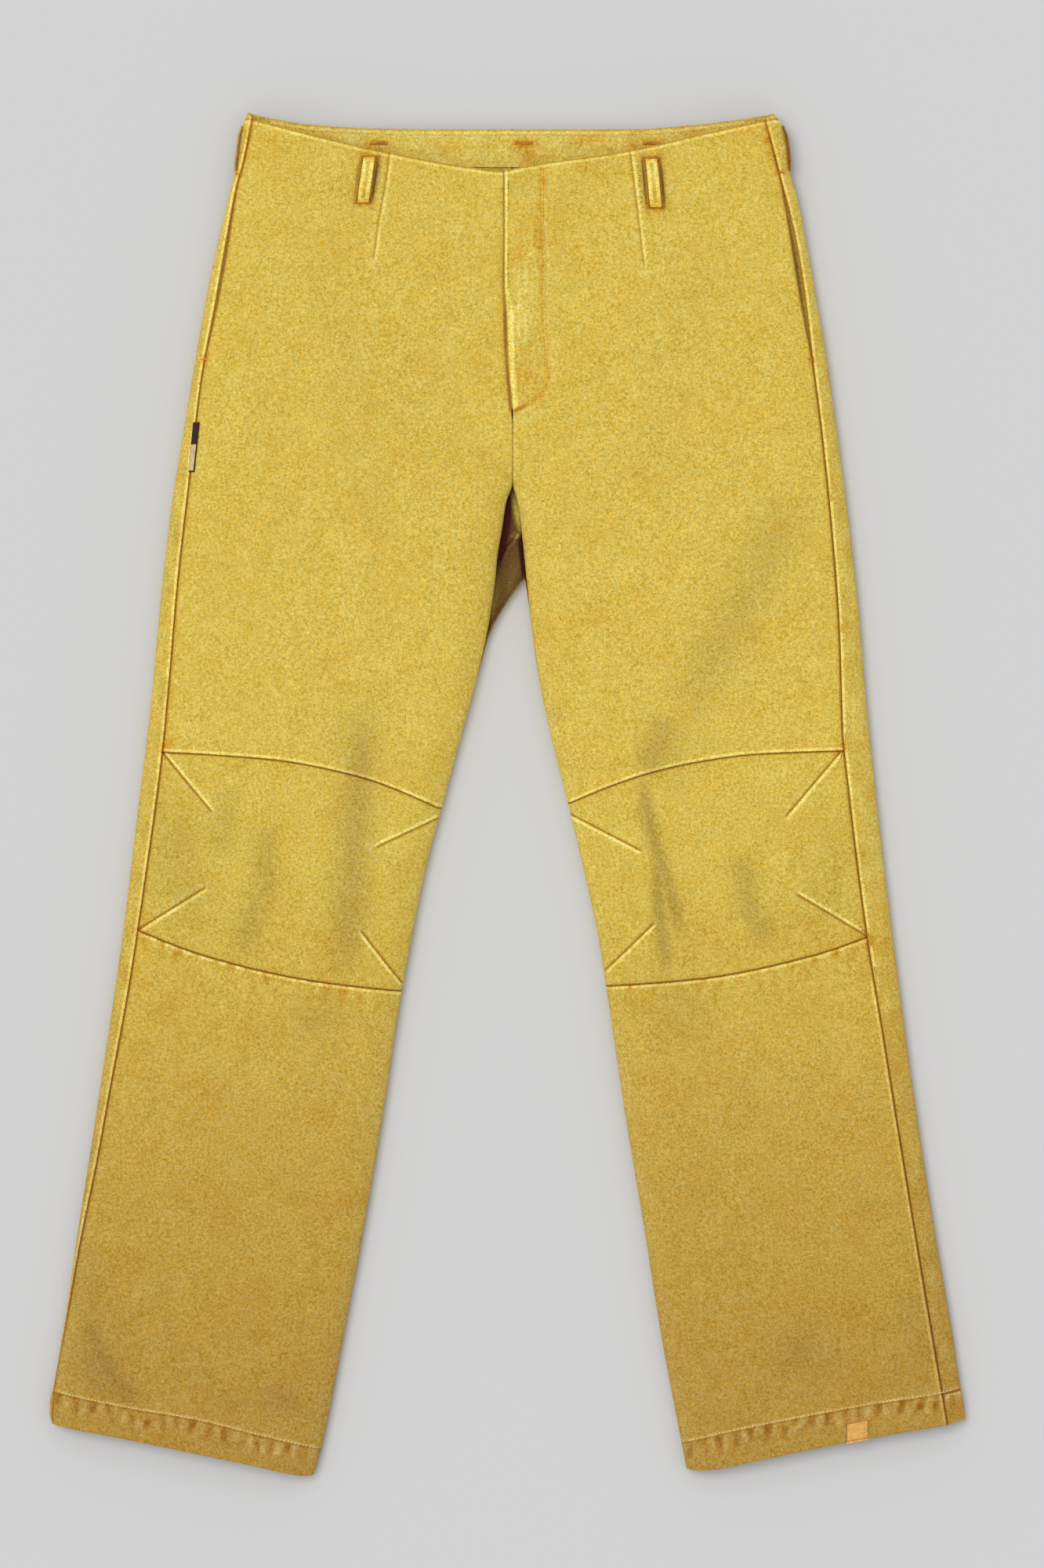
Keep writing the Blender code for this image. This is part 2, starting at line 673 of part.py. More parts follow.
def flat_outline(name, outline, z, thickness, look):
    """A flat piece from a 2D curve filled on both sides."""
    curve = bpy.data.curves.new(name, "CURVE")
    curve.dimensions = "2D"
    curve.fill_mode = "BOTH"
    curve.extrude = thickness / 2 * MM
    spline = curve.splines.new("POLY")
    spline.points.add(len(outline) - 1)
    for point, (x, y) in zip(spline.points, outline):
        point.co = (x * MM, y * MM, 0, 1)
    spline.use_cyclic_u = True
    curve.materials.append(look)
    obj = bpy.data.objects.new(name, curve)
    obj.location.z = z * MM
    bpy.data.collections["work_trousers"].objects.link(obj)


def make_fly_inside():
    """Shield behind the zip, the underlap's top corner and the press stud."""
    rows = [[(x, y, z) for x, z in SHIELD_PROFILE] for y in SHIELD_Y]
    cloth_node("fly_shield", rows, lining(), FACING, outward=1)
    box("waist_tab", *WAIST_TAB, lining())
    disc("snap_stud", SNAP, *SNAP_STUD, zip_metal())
    disc("snap_socket", SNAP, *SNAP_SOCKET, zip_metal())


def disc(name, centre, base, inner, outer, look):
    """A turned disc, or a ring when it has an inner radius, standing on its base height."""
    mesh = bpy.data.meshes.new(name)
    if inner:
        profile = [(outer, SNAP_HEIGHT), (outer, 0), (inner, 0), (inner, SNAP_HEIGHT)]
        edges = [(0, 1), (1, 2), (2, 3), (3, 0)]
    else:
        profile = [(0, SNAP_HEIGHT), (outer, SNAP_HEIGHT), (outer, 0), (0, 0)]
        edges = [(0, 1), (1, 2), (2, 3)]
    mesh.from_pydata([(r * MM, 0, h * MM) for r, h in profile], edges, [])
    mesh.materials.append(look)
    obj = bpy.data.objects.new(name, mesh)
    obj.location = (centre[0] * MM, centre[1] * MM, base * MM)
    turn = obj.modifiers.new("turn", "SCREW")
    turn.steps = TURN_STEPS
    turn.render_steps = TURN_STEPS
    turn.use_merge_vertices = True
    turn.merge_threshold = 0.05 * MM
    bpy.data.collections["work_trousers"].objects.link(obj)


def loop_profile(length, gap):
    """Distance along a belt loop and its lift off the cloth."""
    return ((0, 0), (LOOP_END, 0), (LOOP_END + LOOP_SLOPE, gap), (length - LOOP_END - LOOP_SLOPE, gap),
            (length - LOOP_END, 0), (length, 0))


def belt_loop(name, top, bottom, surface, wide, out, gap=LOOP_GAP):
    """A strip sewn down at both ends; surface(x, y) is the cloth and out points off it."""
    length = math.hypot(top[0] - bottom[0], top[1] - bottom[1])
    rows = []
    for along, lift in loop_profile(length, gap):
        part = along / length
        x, y = top[0] + (bottom[0] - top[0]) * part, top[1] + (bottom[1] - top[1]) * part
        row = []
        for end in (-1, 1):
            px, py = x + wide[0] * end * LOOP_WIDTH / 2, y + wide[1] * end * LOOP_WIDTH / 2
            base = surface(px, py)
            reach = lift + LAYER_GAP + LOOP_CLOTH
            z = base[2] + out[2] * reach + wide[2] * end * LOOP_WIDTH / 2
            row.append((base[0] + out[0] * reach, base[1], z))
        rows.append(row)
    obj = build_mesh(name, [p for row in rows for p in row], grid_faces(len(rows), 2), canvas())
    if sum((face.normal.x * out[0] + face.normal.z * out[2]) * face.area for face in obj.data.polygons) < 0:
        obj.data.flip_normals()
    thicken(obj, LOOP_CLOTH)


def make_belt_loops():
    """Two loops on the front, three under the back and one over each side fold."""
    def on_front(x, y):
        return x, y, between(FRONT_HEIGHT, y)

    def under_back(x, y):
        return x, y, between(BACK_LIFT, y)

    for word, top, bottom in FRONT_LOOPS:
        belt_loop(f"belt_loop_front_{word}", top, bottom, on_front, (1, 0, 0), (0, 0, 1))
    top_y, bottom_y = BACK_LOOP_Y
    for word, x in BACK_LOOPS:
        belt_loop(f"belt_loop_back_{word}", (x, top_y), (x, bottom_y), under_back, (1, 0, 0), (0, 0, -1))
    ends = [(0, y) for y in SIDE_LOOP_Y]
    for side, word in ((-1, "right"), (1, "left")):
        def at_side(x, y, side=side):
            return between(OUTER_EDGE[side], y) + side * SIDE_LOOP_CLEARANCE, y, SIDE_LOOP_Z

        belt_loop(f"belt_loop_side_{word}", *ends, at_side, (0, 0, 1), (side, 0, 0), SIDE_LOOP_GAP)


def make_labels():
    """A plain patch on the left hem and a folded tag sewn into the right side seam."""
    rows = []
    for y in LABEL_Y:
        slope = [(x - LABEL_X[1]) * LABEL_SLOPE for x in LABEL_X]
        rows.append([(x, y + rise, front_z(x, y) + LABEL_LIFT) for x, rise in zip(LABEL_X, slope)])
    cloth_node("hem_label", rows, tag_cream(), LABEL_CLOTH, outward=1)
    tags = (("side_tag", TAG_BROWN_Y, tag_brown()), ("side_tag_tip", TAG_CREAM_Y, tag_cream()))
    for name, ends, look in tags:
        rows = []
        for y in ends:
            seam, fold = between(SIDE_SEAM[-1], y), between(OUTER_EDGE[-1], y)
            places = [seam + (fold - seam) * part for part in TAG_COLUMNS]
            rows.append([(x, y, front_z(x, y) + TAG_LIFT) for x in places])
        cloth_node(name, rows, look, TAG_CLOTH, outward=1)


def main():
    """Clears the scene and makes every piece of the garment."""
    for old in list(bpy.data.objects):
        bpy.data.objects.remove(old)
    collection("work_trousers")
    collection("cutters")
    make_seat()
    make_legs()
    make_hems()
    make_waist_facings()
    make_pocket_bags()
    make_fly_flap()
    make_zip()
    make_fly_inside()
    make_belt_loops()
    make_labels()


main()
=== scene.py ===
"""Looks for the canvas work trousers: cloth, seams, thread, metal, light and camera.

Tables are in millimetres, in the frame's axes: X to the wearer's left, Y from
the hems to the waist, Z out of the front. Meshes are made in metres.
"""

import math

import bpy
import numpy as np
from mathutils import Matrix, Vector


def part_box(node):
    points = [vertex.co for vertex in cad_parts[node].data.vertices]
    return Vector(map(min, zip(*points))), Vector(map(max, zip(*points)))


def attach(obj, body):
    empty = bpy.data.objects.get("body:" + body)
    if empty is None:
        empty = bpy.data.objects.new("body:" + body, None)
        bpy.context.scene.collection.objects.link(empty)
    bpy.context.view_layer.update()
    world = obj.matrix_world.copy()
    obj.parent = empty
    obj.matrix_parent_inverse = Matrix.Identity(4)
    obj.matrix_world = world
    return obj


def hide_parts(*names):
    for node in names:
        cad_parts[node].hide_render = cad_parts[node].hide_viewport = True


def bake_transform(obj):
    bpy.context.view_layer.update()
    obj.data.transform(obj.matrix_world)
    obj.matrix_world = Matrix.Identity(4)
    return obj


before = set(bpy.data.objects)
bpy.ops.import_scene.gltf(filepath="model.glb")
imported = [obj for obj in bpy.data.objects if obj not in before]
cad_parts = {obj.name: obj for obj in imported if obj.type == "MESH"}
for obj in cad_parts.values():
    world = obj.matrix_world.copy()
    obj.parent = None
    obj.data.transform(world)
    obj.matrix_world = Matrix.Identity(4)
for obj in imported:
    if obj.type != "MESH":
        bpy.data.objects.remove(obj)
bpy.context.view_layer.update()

MM = 0.001

# Cloth thicknesses, the gap at a seam, and the mesh steps.
CLOTH = 1.4
FACING = 1.1
FLAP_CLOTH = 1.3
GAP = 0.15
FINE_STEP = 2.3
KNEE_STEP = 1.6
BACK_STEP = 4.5

# Heights along the garment, as (y, z), and how far in from a fold the cloth rounds over.
FRONT_HEIGHT = ((-540, 18), (-300, 20), (-60, 22), (140, 24), (540, 24))
FOLD_HEIGHT = ((-540, 6), (400, 6), (480, 9), (540, 12))
BACK_LIFT = ((-540, 0), (425, 0), (474, 6.5), (540, 6.5))
FRONT_SHOULDER = 36
BACK_SHOULDER = 7

# Where the inseams meet, on the back and on the front, the back's centre seam, and the fly's lower end.
CROTCH = (13, 171)
FRONT_CROTCH = (4, 248)
CENTRE_BACK_X = 4
FLY_FOOT_Y = 304

# Edges of the laid garment, as (y, x) from the hem up; -1 is the right leg.
OUTER_EDGE = {
    -1: ((-497, -361), (-490, -363), (-480, -362.8), (-470, -360.4), (-425, -352.5), (-350, -341.3),
         (-250, -325.8), (-107, -304.7), (0, -291.6), (71, -282.9), (150, -275.5), (226, -266.8),
         (300, -255), (380, -241.5), (430, -231.5), (465, -223), (490, -216.8), (505, -213.8), (530, -210),
         (538, -206.5)),
    1: ((-494, 363), (-480, 361.4), (-470, 359.4), (-425, 352.5), (-350, 339.6), (-250, 324), (-107, 304.8),
        (0, 292.2), (71, 284.8), (150, 278), (226, 269.4), (300, 259.5), (340, 254), (400, 243.9),
        (430, 238.4), (460, 232.7), (480, 228), (494, 223.6), (515, 221.2), (530, 218), (538, 212)),
}
INNER_EDGE = {
    -1: ((-539, -154), (-517, -147.6), (-425, -129.4), (-350, -115.2), (-250, -98.4), (-177, -87.4),
         (-107, -74.8), (-60, -65.4), (0, -49.4), (38, -39.2), (96, -23.4), (128, -14), (171, 12)),
    1: ((-534, 142), (-513, 138), (-425, 121.4), (-350, 109.5), (-250, 92.9), (-177, 82), (-107, 71),
        (-60, 60.7), (0, 46.4), (54, 32.8), (96, 24.4), (148, 17.4), (171, 14)),
}
FRONT_INNER = {
    -1: (*INNER_EDGE[-1][:11], (124, -17), (144, -13.5), (168, -10), (189, -8), (209, -4.6), (233, -0.8),
         (248, 4), (299, 4.3), (340, 1.5), (540, 1.5)),
    1: (*INNER_EDGE[1][:12], (172, 15), (189, 13.4), (217, 10.2), (235, 7.2), (248, 4.2), (303, 4.4)),
}
SIDE_SEAM = {
    -1: ((-497, -361), (-470, -359), (-425, -351), (-352, -337.8), (-292, -325.4), (-232, -314.4),
         (-152, -299.6), (-72, -287.4), (34, -273), (88, -267.7), (168, -260.8), (248, -251.8),
         (333, -241.6), (389, -231.1), (442, -221.8), (485, -213.6), (495, -210.4), (538, -201.5)),
    1: ((-497, 348.4), (-432, 337.2), (-312, 317.2), (-192, 297.7), (-112, 284.6), (8, 269.4), (48, 265.2),
        (128, 262.5), (208, 256.7), (288, 248.6), (335, 242.6), (410, 233.4), (446, 226.8), (487, 216.4),
        (538, 203)),
}
FLY_EDGE = (
    (248, 4), (290, 4.2), (304.5, 3.1), (343, -0.2), (376, -1.4), (409, -3), (442, -2.7),
    (540, -3.5),
)

# Lines across the garment, as (x, y).
FRONT_WAIST = (
    (-205, 536), (-91, 508), (-30, 497), (-3, 494), (5, 496), (95, 510), (157, 524), (211, 536),
)
BACK_WAIST = (
    (-205, 540.5), (-190, 537), (-150, 531), (-100, 528.5), (-50, 527.9), (50, 527.9), (100, 528),
    (150, 531.6), (190, 536.5), (211, 540),
)
UPPER_KNEE_SEAM = {
    -1: ((-273, 34), (-186, 28), (-119, 15), (-55, -10)),
    1: ((50, -6), (90, 10.2), (118, 19), (151, 26.3), (196, 32.3), (265, 35)),
}
LOWER_KNEE_SEAM = {
    -1: ((-292, -107), (-236, -128), (-153, -147), (-85, -155)),
    1: ((80, -151), (154, -145), (241, -127), (285, -112)),
}
HEM_EDGE = {
    -1: ((-363, -497.3), (-350, -500.8), (-320, -506.3), (-291, -512), (-240, -522.6), (-200, -531),
         (-170, -537.8), (-160, -539), (-153, -538.4)),
    1: ((142, -533.6), (150, -534.8), (160, -534.2), (194, -527.5), (234, -519), (300, -506.6),
        (330, -501.5), (355, -497), (363, -494.5)),
}
HEM_STITCH = {
    -1: ((-358, -472), (-307, -483), (-244, -494), (-196, -506), (-149, -517)),
    1: ((139, -512), (186, -501), (236, -491), (285, -482), (342, -473), (357, -470)),
}

# Depths of the hem and of the waist facing, and the height at which the back is in two pieces.
HEM_DEPTH = 24
FACING_DEPTH = 30
CUT_Y = 60

# Columns of the back that come round the side fold, and those that are tucked into the pocket mouth.
WRAP, TUCKED = 12, 6

# Darts, each from its wide end to its tip, and which side of it catches the light.
DARTS = (
    (((-273, 34), (-234, -13)), 1), (((-292, -106), (-239, -73)), -1),
    (((-55, -18), (-104, -41)), -1), (((-84, -148), (-116, -107)), 1),
    (((50, -15), (106, -44)), -1), (((263, 34), (220, -17)), 1),
    (((78, -138), (116, -101)), -1), (((284, -111), (229, -78)), -1),
    (((345.5, -474), (359, -471)), -1),
    (((-93, 508), (-97, 480), (-102, 454), (-106, 424)), 1), (((97, 508), (103, 462), (108, 418)), 1),
)

# Soft creases: path, half width, depth and how much painted shade darkens the cloth in them.
CREASES = (
    (((-112, 66), (-118, 0), (-122, -60), (-128, -140)), 14, 1.6, 0.7),
    (((-222, 6), (-228, -50)), 12, 0.6, 0.4),
    (((-190, -20), (-192, -70), (-212, -128)), 11, 0.6, 0.5),
    (((108, 12), (111, -11), (118, -41), (126, -66), (138, -110)), 5.5, 1.5, 0.85),
    (((120, -46), (120, -91), (126, -140)), 5.5, 1.3, 0.8),
    (((128, 62), (110, 14)), 13, 0.8, 0.6),
    (((186, -50), (191, -88), (209, -116)), 10, 0.8, 0.55),
    (((225, 232), (188, 150), (144, 71)), 19, 1.2, 0.45),
    (((-333, -416), (-320, -446), (-311, -463), (-292, -483)), 7.5, 1.0, 0.6),
    (((33, 68), (45, 62)), 5, 0.8, 0.3),
    (((-150, 420), (-120, 330), (-100, 200)), 18, 0.9, 0.1),
    (((160, 430), (130, 330), (110, 240)), 18, 0.9, 0.1),
)

# Fly: the flap cloth is hinged on this line, its stitching follows a curve, and the zip under it marks it.
FLAP_LINE = ((-1, 303), (68.5, 495))
FLAP_BLEND = 12
FLAP_LONG, FLAP_WIDE, FLAP_DROP = 188, 72, 0.6
FLAP_EDGE_FOOT, FLAP_HINGE_FOOT = 305, 306
FLY_STITCH = (
    (26, 496), (26, 455), (28, 425), (27, 380), (30, 350), (33, 334), (29, 320), (20, 312),
    (5, 303),
)
ZIP_MARKS = (((9, 420), (9, 357)), ((14.5, 420), (14.5, 357)), ((21, 430), (5, 415)))

# Rusty, shaded and pale patches: x, y, half width, half height, turn in degrees, strength.
# The shaded ones are painted shade, with painted shadows beside the belt loops; the pale ones are
# partly wear and partly painted highlight on raised cloth.
RUST = (
    (28, 486, 3.2, 12, 0, 0.9), (26, 462, 2.4, 12, 4, 0.7), (25, 440, 4, 10, 8, 0.9),
    (27, 415, 2.4, 12, -4, 0.55), (28, 385, 2.2, 16, 0, 0.4), (32.5, 332, 2.2, 11, 8, 0.9),
    (9.5, 306, 7.5, 2.2, 27, 1.0), (23, 314, 7, 2.6, 32, 0.8), (27, 324, 7, 9, 0, 0.5),
    (15, 332, 11, 12, 0, 0.5), (14, 352, 6, 3, 20, 0.45), (9, 428, 6, 14, 0, 0.55),
    (12, 447, 5, 8, -20, 0.4), (5, 302, 2.2, 3, 0, 1.0), (40, 470, 5, 18, -12, 0.25),
    (-213, 492, 4.5, 3.5, 0, 1.0), (216, 493, 5, 3.5, 0, 1.0), (-240, 345, 3.5, 6, 0, 0.9),
    (241, 345, 3.5, 6, 0, 0.9), (-273, 38, 7, 6, 0, 0.8), (265, 36, 6, 6, 0, 0.8),
    (-292, -107, 6, 6, 0, 0.8), (286, -112, 6, 6, 0, 0.8), (-206, 520, 3, 14, -12, 0.8),
    (206, 515, 3, 14, 12, 0.8), (355, -486, 5, 9, 8, 0.6), (-110, 507, 11, 3.4, -15, 0.7),
    (114, 505.5, 10, 3.4, 5, 0.7), (-112, 466, 9, 2.6, 0, 0.6), (118, 462, 9, 2.6, 0, 0.6),
    (-75, 503, 8, 5, 0, 0.35), (60, 498, 8, 8, 0, 0.3), (186, 525, 14, 5, 15, 0.3),
)
INSIDE_RUST = (
    (-102, 516, 10, 4.2, 0, 1.3), (13, 516, 11, 4.2, 0, 1.4), (114, 516, 10, 4.2, 0, 1.3),
    (17, 507, 6, 7, 0, 1.0), (-98, 507, 7, 6, 0, 0.7), (100, 514, 5, 9, 0, 0.8),
    (-150, 522, 20, 4, -15, 0.5), (60, 520, 14, 5, 0, 0.5), (-45, 512, 12, 6, 0, 0.4),
    (150, 525, 14, 4, 15, 0.6),
)
SHADED = (
    (-262, -45, 30, 62, 12, 0.40), (258, -60, 26, 55, -10, 0.30), (-120, 45, 20, 30, 0, 0.35),
    (128, 40, 20, 26, 0, 0.35), (-330, -400, 18, 60, 10, 0.25), (330, -420, 24, 60, -10, 0.2),
    (135, -170, 30, 26, 0, 0.3), (-150, -175, 26, 20, 0, 0.35), (-328, -452, 14, 22, 20, 0.45),
    (-178, -478, 16, 14, 0, 0.4), (230, -440, 26, 22, 0, 0.3), (-70, 300, 40, 50, 0, 0.1),
    (-104.5, 487, 2.0, 19, -10, 1.6), (122.4, 485, 1.8, 20, 6, 1.4), (12, 486, 14, 12, 0, 0.2),
    (108.8, 486, 1.8, 20, 6, 1.6), (-117.8, 487, 1.3, 19, -8, 1.0),
)
HOLLOW = (
    (-3.2, 212, 4.0, 28, -9, 0.4), (12.2, 193, 2.4, 16, 7, 0.5), (8.2, 222, 2.4, 14, 11, -1.0),
    (7, 206.5, 3.4, 1.6, 30, -0.55), (4, 172, 5, 24, -12, -0.10), (-13.5, 148, 4, 22, -10, -0.4),
)
PALE = (
    (12, 388, 1.5, 34, 2, 0.45), (19, 392, 1.4, 26, -3, 0.5), (5, 372, 1.3, 24, 0, 0.6),
    (20, 338, 5, 3, 20, 0.3), (4, 330, 3, 26, 0, 0.35), (-4, 480, 4, 14, 0, 0.3),
    (12, 470, 5, 16, 0, 0.2), (15, 304.5, 8, 1.3, 27, 0.9), (20, 300, 10, 1.6, 30, 0.45),
    (-107, 421, 4, 5, 0, 0.5), (108, 413, 4, 5, 0, 0.5), (4, 498, 5, 2, 10, 0.8),
    (17, 325, 7, 6, 0, 0.3), (-250, 55, 16, 10, 0, 0.25), (-236, -15, 5, 5, 0, 0.3),
    (-106, -42, 4, 4, 0, 0.3), (231, -76, 5, 5, 0, 0.3), (100, 0, 30, 3, 20, 0.2),
)

# The edge that catches light in the hollow between the inseams, as (x, y).
HOLLOW_EDGE = ((12, 204), (10, 208), (8, 208.6), (6, 206), (3, 201), (-1, 197), (-6, 186))

# Shaded lines beside the front belt loops, each from its top, and the side on which the loop stands.
LOOP_SHADE = (
    (((-102.1, 506), (-107.6, 467.5)), -1, 1.0), (((-115.9, 506), (-121.4, 467.5)), 1, 0.6),
    (((106.6, 504.5), (110.6, 463.5)), 1, 1.0), (((120.4, 504.5), (124.4, 463.5)), -1, 1.0),
)

POCKET_MOUTH_Y = (345, 486)
POCKET_BAG = {"bottom": 300, "top": 476, "inset": (24, 112), "floor": 8.6}
SIDE_NAMES = ((-1, "right"), (1, "left"))


def curve(points):
    """Smooth function through (position, value) pairs that never overshoots them."""
    at, value = np.array(points, float).T
    gap = np.diff(at)
    slope = np.diff(value) / gap
    tangent = np.concatenate([slope[:1], np.zeros(len(at) - 2), slope[-1:]])
    same = slope[:-1] * slope[1:] > 0
    left, right = 2 * gap[1:] + gap[:-1], gap[1:] + 2 * gap[:-1]
    safe = np.where(same, slope[:-1], 1), np.where(same, slope[1:], 1)
    tangent[1:-1] = np.where(same, (left + right) / (left / safe[0] + right / safe[1]), 0)
    if len(at) > 3:
        tangent[0], tangent[-1] = 1.5 * slope[0] - 0.5 * tangent[1], 1.5 * slope[-1] - 0.5 * tangent[-2]

    def read(place):
        place = np.clip(place, at[0], at[-1])
        i = np.clip(np.searchsorted(at, place) - 1, 0, len(at) - 2)
        t = (place - at[i]) / gap[i]
        ends = (1 + 2 * t) * (1 - t) ** 2 * value[i] + t * t * (3 - 2 * t) * value[i + 1]
        return ends + gap[i] * (t * (1 - t) ** 2 * tangent[i] + t * t * (t - 1) * tangent[i + 1])

    return read


def both(table):
    return {side: curve(points) for side, points in table.items()}


outer_edge, inner_edge, front_inner = both(OUTER_EDGE), both(INNER_EDGE), both(FRONT_INNER)
side_seam, upper_seam, lower_seam = both(SIDE_SEAM), both(UPPER_KNEE_SEAM), both(LOWER_KNEE_SEAM)
hem_edge, hem_stitch = both(HEM_EDGE), both(HEM_STITCH)
front_waist, back_waist, fly_edge = curve(FRONT_WAIST), curve(BACK_WAIST), curve(FLY_EDGE)


def table_at(table, place):
    at, value = np.array(table, float).T
    return np.interp(place, at, value)


def smooth(value, low, high):
    """0 below low and 1 above high, turning smoothly."""
    t = np.clip((value - low) / (high - low), 0, 1)
    return t * t * (3 - 2 * t)


def bell(value, width):
    return np.exp(-((value / width) ** 2))


def rise(distance, reach):
    """0 at a fold and 1 from reach inwards, as a quarter of an ellipse."""
    left = 1 - np.clip(distance / reach, 0, 1)
    return np.sqrt(1 - left * left)


def by_side(pair, x, y, middle):
    """A side's edge, read at y, for whichever leg each point is on."""
    return np.where(x < middle, pair[-1](y), pair[1](y))


def inset(x, y, inner, crotch):
    """Distance of a point from the nearest fold or, above the crotch, from the crotch."""
    middle, top = crotch
    outer = np.abs(by_side(outer_edge, x, y, middle) - x)
    above = np.hypot(x - middle, y - top)
    below = np.abs(by_side(inner, x, y, middle) - x)
    return np.minimum(outer, np.where(y > top, above, below))


def front_inset(x, y):
    return inset(x, y, front_inner, FRONT_CROTCH)


def back_inset(x, y):
    return inset(x, y, inner_edge, CROTCH)


def on_leg(side, x):
    """Whether a point of the front belongs to this side's leg."""
    return np.where(x < FRONT_CROTCH[0], -1, 1) == side


def near(path, x, y):
    """Distance to a path, signed positive on its left, and the share of its length passed."""
    points = np.array(path, float)
    steps = np.diff(points, axis=0)
    lengths = np.hypot(*steps.T)
    total, gone = lengths.sum(), 0.0
    best, signed, share = np.full(x.shape, 1e9), np.zeros(x.shape), np.zeros(x.shape)
    for (px, py), (dx, dy), long in zip(points, steps, lengths):
        t = ((x - px) * dx + (y - py) * dy) / long**2
        held = np.clip(t, 0, 1)
        far = np.hypot(x - px - held * dx, y - py - held * dy)
        side = (dx * (y - py) - dy * (x - px)) / long
        closer = far < best
        best = np.where(closer, far, best)
        signed = np.where(closer, side, signed)
        share = np.where(closer, (gone + t * long) / total, share)
        gone += long
    return best, signed, share


def waves(seed, count, shortest, longest, lengthwise):
    """A gentle random undulation, mostly in ridges that run along the legs."""
    random = np.random.default_rng(seed)
    length = random.uniform(shortest, longest, count)
    angle = random.normal(0, lengthwise, count)
    phase = random.uniform(0, 2 * math.pi, count)

    def height(x, y):
        total = np.zeros(x.shape)
        for wave, turn, start in zip(length, angle, phase):
            along = x * math.cos(turn) + y * math.sin(turn)
            total += np.sin(2 * math.pi * along / wave + start) * wave / longest
        return total / math.sqrt(count)

    return height


broad_waves = waves(3, 12, 60, 190, 0.7)
small_waves = waves(8, 16, 16, 42, 1.2)
pucker_waves = waves(21, 7, 8, 15, 0.25)


def patches(table, x, y):
    total = np.zeros(x.shape)
    for px, py, wide, high, turn, strength in table:
        a = math.radians(turn)
        u = (x - px) * math.cos(a) + (y - py) * math.sin(a)
        v = (y - py) * math.cos(a) - (x - px) * math.sin(a)
        total = np.maximum(total, strength * np.exp(-((u / wide) ** 2) - (v / high) ** 2))
    return total


def across_line(line, x, y):
    """Distance above a line across the garment, square to it."""
    slope = (line(x + 1) - line(x - 1)) / 2
    return (y - line(x)) / np.sqrt(1 + slope**2)


# How far the gathers reach from a knee seam, and where they fade out below the hem's stitching.
GATHER_REACH = 9
HEM_BAND = (8, 17)


def puckers(side, x, y):
    """Small gathers beside the knee seams and in the hem band, above and below zero."""
    ripple = np.clip(pucker_waves(x, y) * 1.6, -1, 1)
    above = across_line(upper_seam[side], x, y)
    below = -across_line(lower_seam[side], x, y)
    edge = smooth(np.abs(x - (side_seam[side](y) + inner_edge[side](y)) / 2), 10, 90)
    near_upper = np.where(above > 0, np.exp(-above / GATHER_REACH), 0) * (0.35 + 0.65 * edge)
    near_lower = 1.35 * np.where(below > 0, np.exp(-below / GATHER_REACH), 0)
    band = -across_line(hem_stitch[side], x, y)
    in_hem = smooth(band, -1, 2.5) * smooth(-band, -HEM_BAND[1], -HEM_BAND[0])
    uneven = np.clip(0.55 + 0.6 * small_waves(x * 2.1, y * 2.4), 0.1, 1.2)
    return ripple * uneven * (near_upper * 0.6 + near_lower), ripple * uneven * in_hem


def crease_fade(share, run_out):
    """A crease starts and ends softly, and runs out a little past its ends."""
    return smooth(share, -run_out, 0.2) * smooth(-share, -1 - run_out, -0.8)


# Depths and widths of the marks in the front cloth, and how far in from a fold it undulates in full.
RELIEF_REACH = 60
BROAD_LIFT, SMALL_LIFT = 0.75, 0.16
DART_DEPTH, DART_WIDTH = 0.9, 1.3
ZIP_LIFT, ZIP_WIDTH = 0.35, 2.0
FLY_GROOVE, FLY_GROOVE_WIDTH = 0.45, 1.6


def dart_relief(path, x, y):
    """A narrow furrow that gets shallower to its tip, with a ridge beside it and a swell past the tip."""
    far, _, share = near(path, x, y)
    taper = (1 - 0.6 * np.clip(share, 0, 1)) * smooth(-share, -1.08, -0.94)
    tip_x, tip_y = path[-1]
    swell = 0.5 * bell(np.hypot(x - tip_x, y - tip_y) - 7, 4)
    return swell - taper * (DART_DEPTH * bell(far, DART_WIDTH) - 0.35 * bell(far - 3.4, 1.8))


def leg_relief(side, x, y):
    """One leg's gathers, and its hem band standing slightly proud of the stitch line."""
    seam, hem = puckers(side, x, y)
    stitch = across_line(hem_stitch[side], x, y)
    band = 0.5 * smooth(-stitch, 0.5, 3) - 0.55 * bell(stitch, 1.2)
    return 0.45 * seam + 0.5 * hem + band


def front_relief(x, y):
    """Everything that lifts or sinks the front cloth from its plain laid shape."""
    inland = rise(front_inset(x, y), RELIEF_REACH)
    lift = (BROAD_LIFT * broad_waves(x, y) + SMALL_LIFT * small_waves(x, y)) * inland
    for path, wide, deep, _ in CREASES:
        far, _, share = near(path, x, y)
        lift -= deep * crease_fade(share, 0.12) * (bell(far, wide) - 0.45 * bell(far - 2.2 * wide, wide))
    for path, _ in DARTS:
        lift += dart_relief(path, x, y)
    for side, _ in SIDE_NAMES:
        lift += on_leg(side, x) * leg_relief(side, x, y)
    for path in ZIP_MARKS:
        far, _, _ = near(path, x, y)
        lift += ZIP_LIFT * bell(far, ZIP_WIDTH)
    far, _, _ = near(FLY_STITCH, x, y)
    lift -= FLY_GROOVE * bell(far, FLY_GROOVE_WIDTH)
    return lift


def front_height(x, y):
    low = table_at(FOLD_HEIGHT, y)
    full = rise(front_inset(x, y), FRONT_SHOULDER)
    return low + (table_at(FRONT_HEIGHT, y) - low) * full


def back_height(x, y):
    low = table_at(BACK_LIFT, y)
    return low + (table_at(FOLD_HEIGHT, y) - low) * (1 - rise(back_inset(x, y), BACK_SHOULDER))


# How far the flap stands proud, and the low and the far end of the area in which it does.
FLAP_PROUD = 2.3
FLAP_LOW_Y, FLAP_FAR_X = 300, 90


